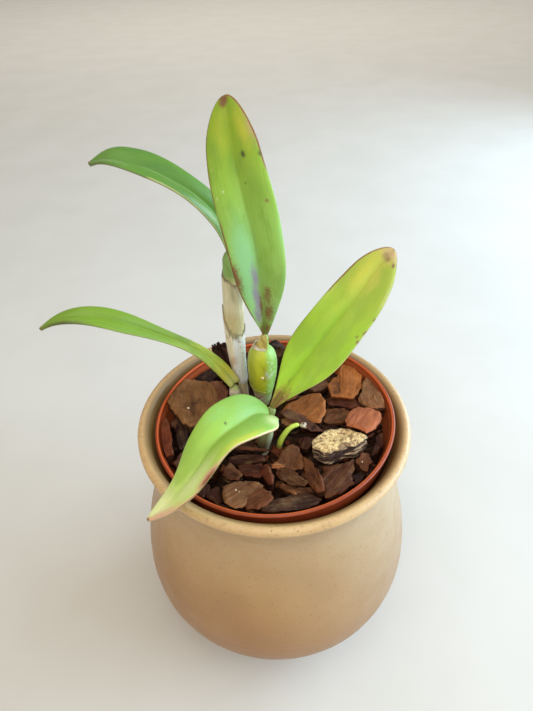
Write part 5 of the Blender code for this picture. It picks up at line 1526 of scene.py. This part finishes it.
def leaf_marks(look, s, u, half, length, margin):
    """How strongly each kind of mark covers each point of a leaf."""
    cover = np.zeros((len(s), len(LEAF_MARKS)))
    layers = []
    for kind, rows in look["marks"].items():
        for along, across, long, wide, strength in rows:
            far = ((s - along) * length / long) ** 2 + ((u - across) * half / wide) ** 2
            layers.append((kind, strength * np.exp(-far)))
    for kind, side, start, stop, wide, strength in look["margins"]:
        run = ramp(s, start - 0.03, start + 0.05)
        if stop < 1:
            run = run * ramp(s, stop + 0.03, stop - 0.05)
        layers.append((kind, strength * ramp(margin, wide, wide * 0.35) * (u * side > 0) * run))
    for kind, amount in layers:
        column = LEAF_MARKS[kind][0]
        cover[:, column] = np.maximum(cover[:, column], amount)
    return cover


def blade_faces(rows, across):
    """Faces of a blade's two sides and its rim, for points in rows, the under side's turned round."""
    below = rows * across
    faces = []
    for here in range(0, below - across, across):
        there = here + across
        for i in range(across - 1):
            for base in (0, below):
                faces.append((base + here + i, base + here + i + 1, base + there + i + 1, base + there + i))
        faces.append((there - 1, below + here, below + there, there + across - 1))
        faces.append((below + there - 1, here, there, below + there + across - 1))
    for row, turn in ((0, -1), (rows - 1, 1)):
        for i in range(across - 1):
            a, b = row * across + i, below + row * across + across - 1 - i
            faces.append((a, a + 1, b - 1, b)[::turn])
    return faces


def build_leaf(name, seed):
    """A leathery leaf: folded halves that bulge, a groove along the midrib and a gently waved margin.
    Arrays run over the two sides, the stations and the columns of the blade."""
    look = LEAVES[name]
    centres, widths, ways, folds = zip(*look["stations"])
    knots = chord_places(centres)
    places = 1 - (1 - np.linspace(0, 1, BLADE_STATIONS)) ** BLADE_TIP_CROWDING
    line, half, face, fold = (
        natural_spline(knots, rows, places) for rows in (centres, widths, ways, np.radians(folds))
    )
    length = np.linalg.norm(np.diff(line, axis=0), axis=1).sum()
    rounding = np.clip((places - (1 - BLADE_ROUND_TIP)) / BLADE_ROUND_TIP, 0, 1)[:, None]
    half = np.maximum(half * np.sqrt(1 - rounding ** 2), BLADE_TIP_HALF_WIDTH)
    along = unit(np.gradient(line, axis=0))
    side = unit(np.cross(along, face))
    up = np.cross(side, along)
    share = np.linspace(-1, 1, 2 * BLADE_COLUMNS + 1)
    columns = np.sin(share * math.pi / 2) * 0.35 + share * 0.65
    u, s, under = np.broadcast_arrays(
        np.stack([columns, columns[::-1]])[:, None], places[:, None], np.array((0.0, 1.0))[:, None, None],
    )
    flat = np.abs(u)

    soft = np.sqrt(flat ** 2 + 0.0016) - 0.04
    rise = np.sin(fold) * soft + BLADE_BULGE * np.minimum(1, half / 8) * flat * (1 - flat) * 4
    near_half = look.get("lobe", 0) * (u < 0)
    lobe = near_half * ramp(s, 0.12, 0) * (flat * (1.25 - flat) / 0.39 - 0.8 * ramp(flat, 0.7, 1.0))
    spread = 1.3 * near_half * ramp(s, 0.3, 0.08) * ramp(s, -0.04, 0.05) * flat ** 2
    thick = BLADE_EDGE_THICK + (BLADE_MIDDLE_THICK - BLADE_EDGE_THICK) * (1 - u * u)
    thick = thick * np.sqrt(1 - 0.8 * ramp(flat, 0.9, 1.0))
    groove = thick / 2 - BLADE_GROOVE * np.exp(-(u * half / BLADE_GROOVE_HALF_WIDTH) ** 2) * (1 - s ** 2)
    keel = -thick / 2 - BLADE_KEEL * np.exp(-(u * half / BLADE_KEEL_HALF_WIDTH) ** 2) * (1 - s)
    wave, waves = look["wave"]
    spots = np.stack([u * half, s * length, 0 * u], -1)
    ripple = wave * flat ** 3 * np.sin(2 * math.pi * waves * s + 1.3 * np.sign(u) + seed)
    ripple = ripple + 0.25 * noise(spots, 0.10, seed) * (1 - flat ** 4)
    sideways = half * np.cos(fold) * u - spread
    upward = half * rise + np.where(under, keel, groove) + ripple
    points = line[:, None] + sideways[..., None] * side[:, None] + upward[..., None] * up[:, None]
    points = points - lobe[..., None] * along[:, None]
    grain = spots + 30 * under[..., None] * (0, 0, 1) + seed * 31

    half, s, u, under = (np.broadcast_to(rows, flat.shape).ravel() for rows in (half, s, u, under))
    margin = np.minimum(half * (1 - np.abs(u)), (1 - s) * length + 0.1)
    cover = leaf_marks(look, s, u, half, length, margin)
    cover[:, [4, 5, 6]] *= (1 - 0.8 * under)[:, None]
    piece(
        name + "_blade", from_rim(points.reshape(-1, 3)), blade_faces(BLADE_STATIONS, len(columns)),
        leaf_finish(name + "_skin", *look["colours"]), [name], look["slot"], grain=grain.reshape(-1, 3),
        rib=np.abs(u) * half + 2.0 * s ** 2, under=under * 0.85,
        marks_a=cover[:, :4], marks_b=cover[:, 4:8], pink=cover[:, 8], share=s,
    )


def build_roots():
    """The rhizome and its roots lie in the bark; their solid keeps its shape and gets a root's skin."""
    paint = Finish("root_skin", 0.75, 0.4)
    here = paint.place()
    cloud = paint.noise(here, 0.5, 4.0, 0.6)
    colour = paint.mix(paint.step(cloud, 0.35, 0.65), (176, 166, 132), (206, 204, 186))
    paint.set(Base_Color=paint.over(colour, (paint.noise(here, 1.6), 0.55, 0.75, 0.5, (134, 104, 74))))
    paint.bump(cloud, 0.3)
    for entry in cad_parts["rhizome_and_roots"].material_slots:
        entry.material = paint.made


def build_floor():
    """A wide pale floor."""
    corners = [(x * FLOOR_HALF, y * FLOOR_HALF, 0) for x, y in ((-1, -1), (1, -1), (1, 1), (-1, 1))]
    mesh = mesh_of("floor", corners, [(0, 1, 2, 3)])
    paint = Finish("floor_paint", 0.7, 0.3)
    cloud = paint.noise(paint.place(), 0.01)
    paint.set(Base_Color=paint.mix(paint.step(cloud, 0.3, 0.7), (204, 200, 191), (208, 204, 196)))
    mesh.materials.append(paint.made)
    add_object("floor", mesh)


def build_lights():
    """Soft daylight from a window on the right, a weak warm fill from the left and a bright room."""
    for name, place, aim, size, power, colour in LIGHTS:
        light = bpy.data.lights.new(name, "AREA")
        light.shape = "DISK"
        light.size = size
        light.energy = power
        light.color = colour
        made = add_object(name, light)
        made.location = place
        made.rotation_euler = (Vector(aim) - Vector(place)).to_track_quat("-Z", "Y").to_euler()
    world = bpy.data.worlds.new("room")
    world.use_nodes = True
    background = world.node_tree.nodes["Background"]
    background.inputs["Color"].default_value = (0.90, 0.87, 0.82, 1)
    background.inputs["Strength"].default_value = 0.55
    bpy.context.scene.world = world
    bpy.context.scene.view_settings.view_transform = "Standard"


def build_camera():
    """The camera stands in front of the pot, above it, and looks down."""
    down, yaw, roll = (math.radians(a) for a in (CAMERA_DOWN, CAMERA_YAW, CAMERA_ROLL))
    ahead = Vector((math.sin(yaw) * math.cos(down), math.cos(yaw) * math.cos(down), -math.sin(down)))
    level = Vector((math.cos(yaw), -math.sin(yaw), 0))
    above = level.cross(ahead)
    right = math.cos(roll) * level + math.sin(roll) * above
    up = right.cross(ahead)
    lens = bpy.data.cameras.new("camera")
    lens.sensor_fit = "VERTICAL"
    lens.sensor_height = SENSOR_MM
    lens.lens = SENSOR_MM * FOCAL_PIXELS / FRAME_HEIGHT_PIXELS
    lens.clip_start = 0.01
    camera = add_object("camera", lens)
    turn = Matrix((right, up, -ahead)).transposed().to_4x4()
    place = Vector((0, -CAMERA_BACK, RIM_HEIGHT + CAMERA_ABOVE_RIM)) * MM
    camera.matrix_world = Matrix.Translation(place) @ turn
    bpy.context.scene.camera = camera


def main():
    build_camera()
    build_lights()
    build_floor()
    build_cachepot()
    build_nursery_pot()
    build_bark_bed()
    build_own_chip("pale_bark", PALE_SLAB, PALE_THICK, "bark_chip_pale", pale_bark(), 91)
    build_own_chip("red_bark", RED_SLAB, RED_THICK, "bark_chip_red", bark("red_bark", 0.6, 0.45), 92)
    build_toothed_chip()
    papery = skin("papery", 0.55, 2.2, 0.16, 0.18, (140, 112, 78))
    build_cane(papery)
    build_green_bulb(papery)
    build_small_bulbs(papery)
    build_new_shoot()
    build_roots()
    for seed, name in enumerate(LEAVES):
        build_leaf(name, seed)


main()
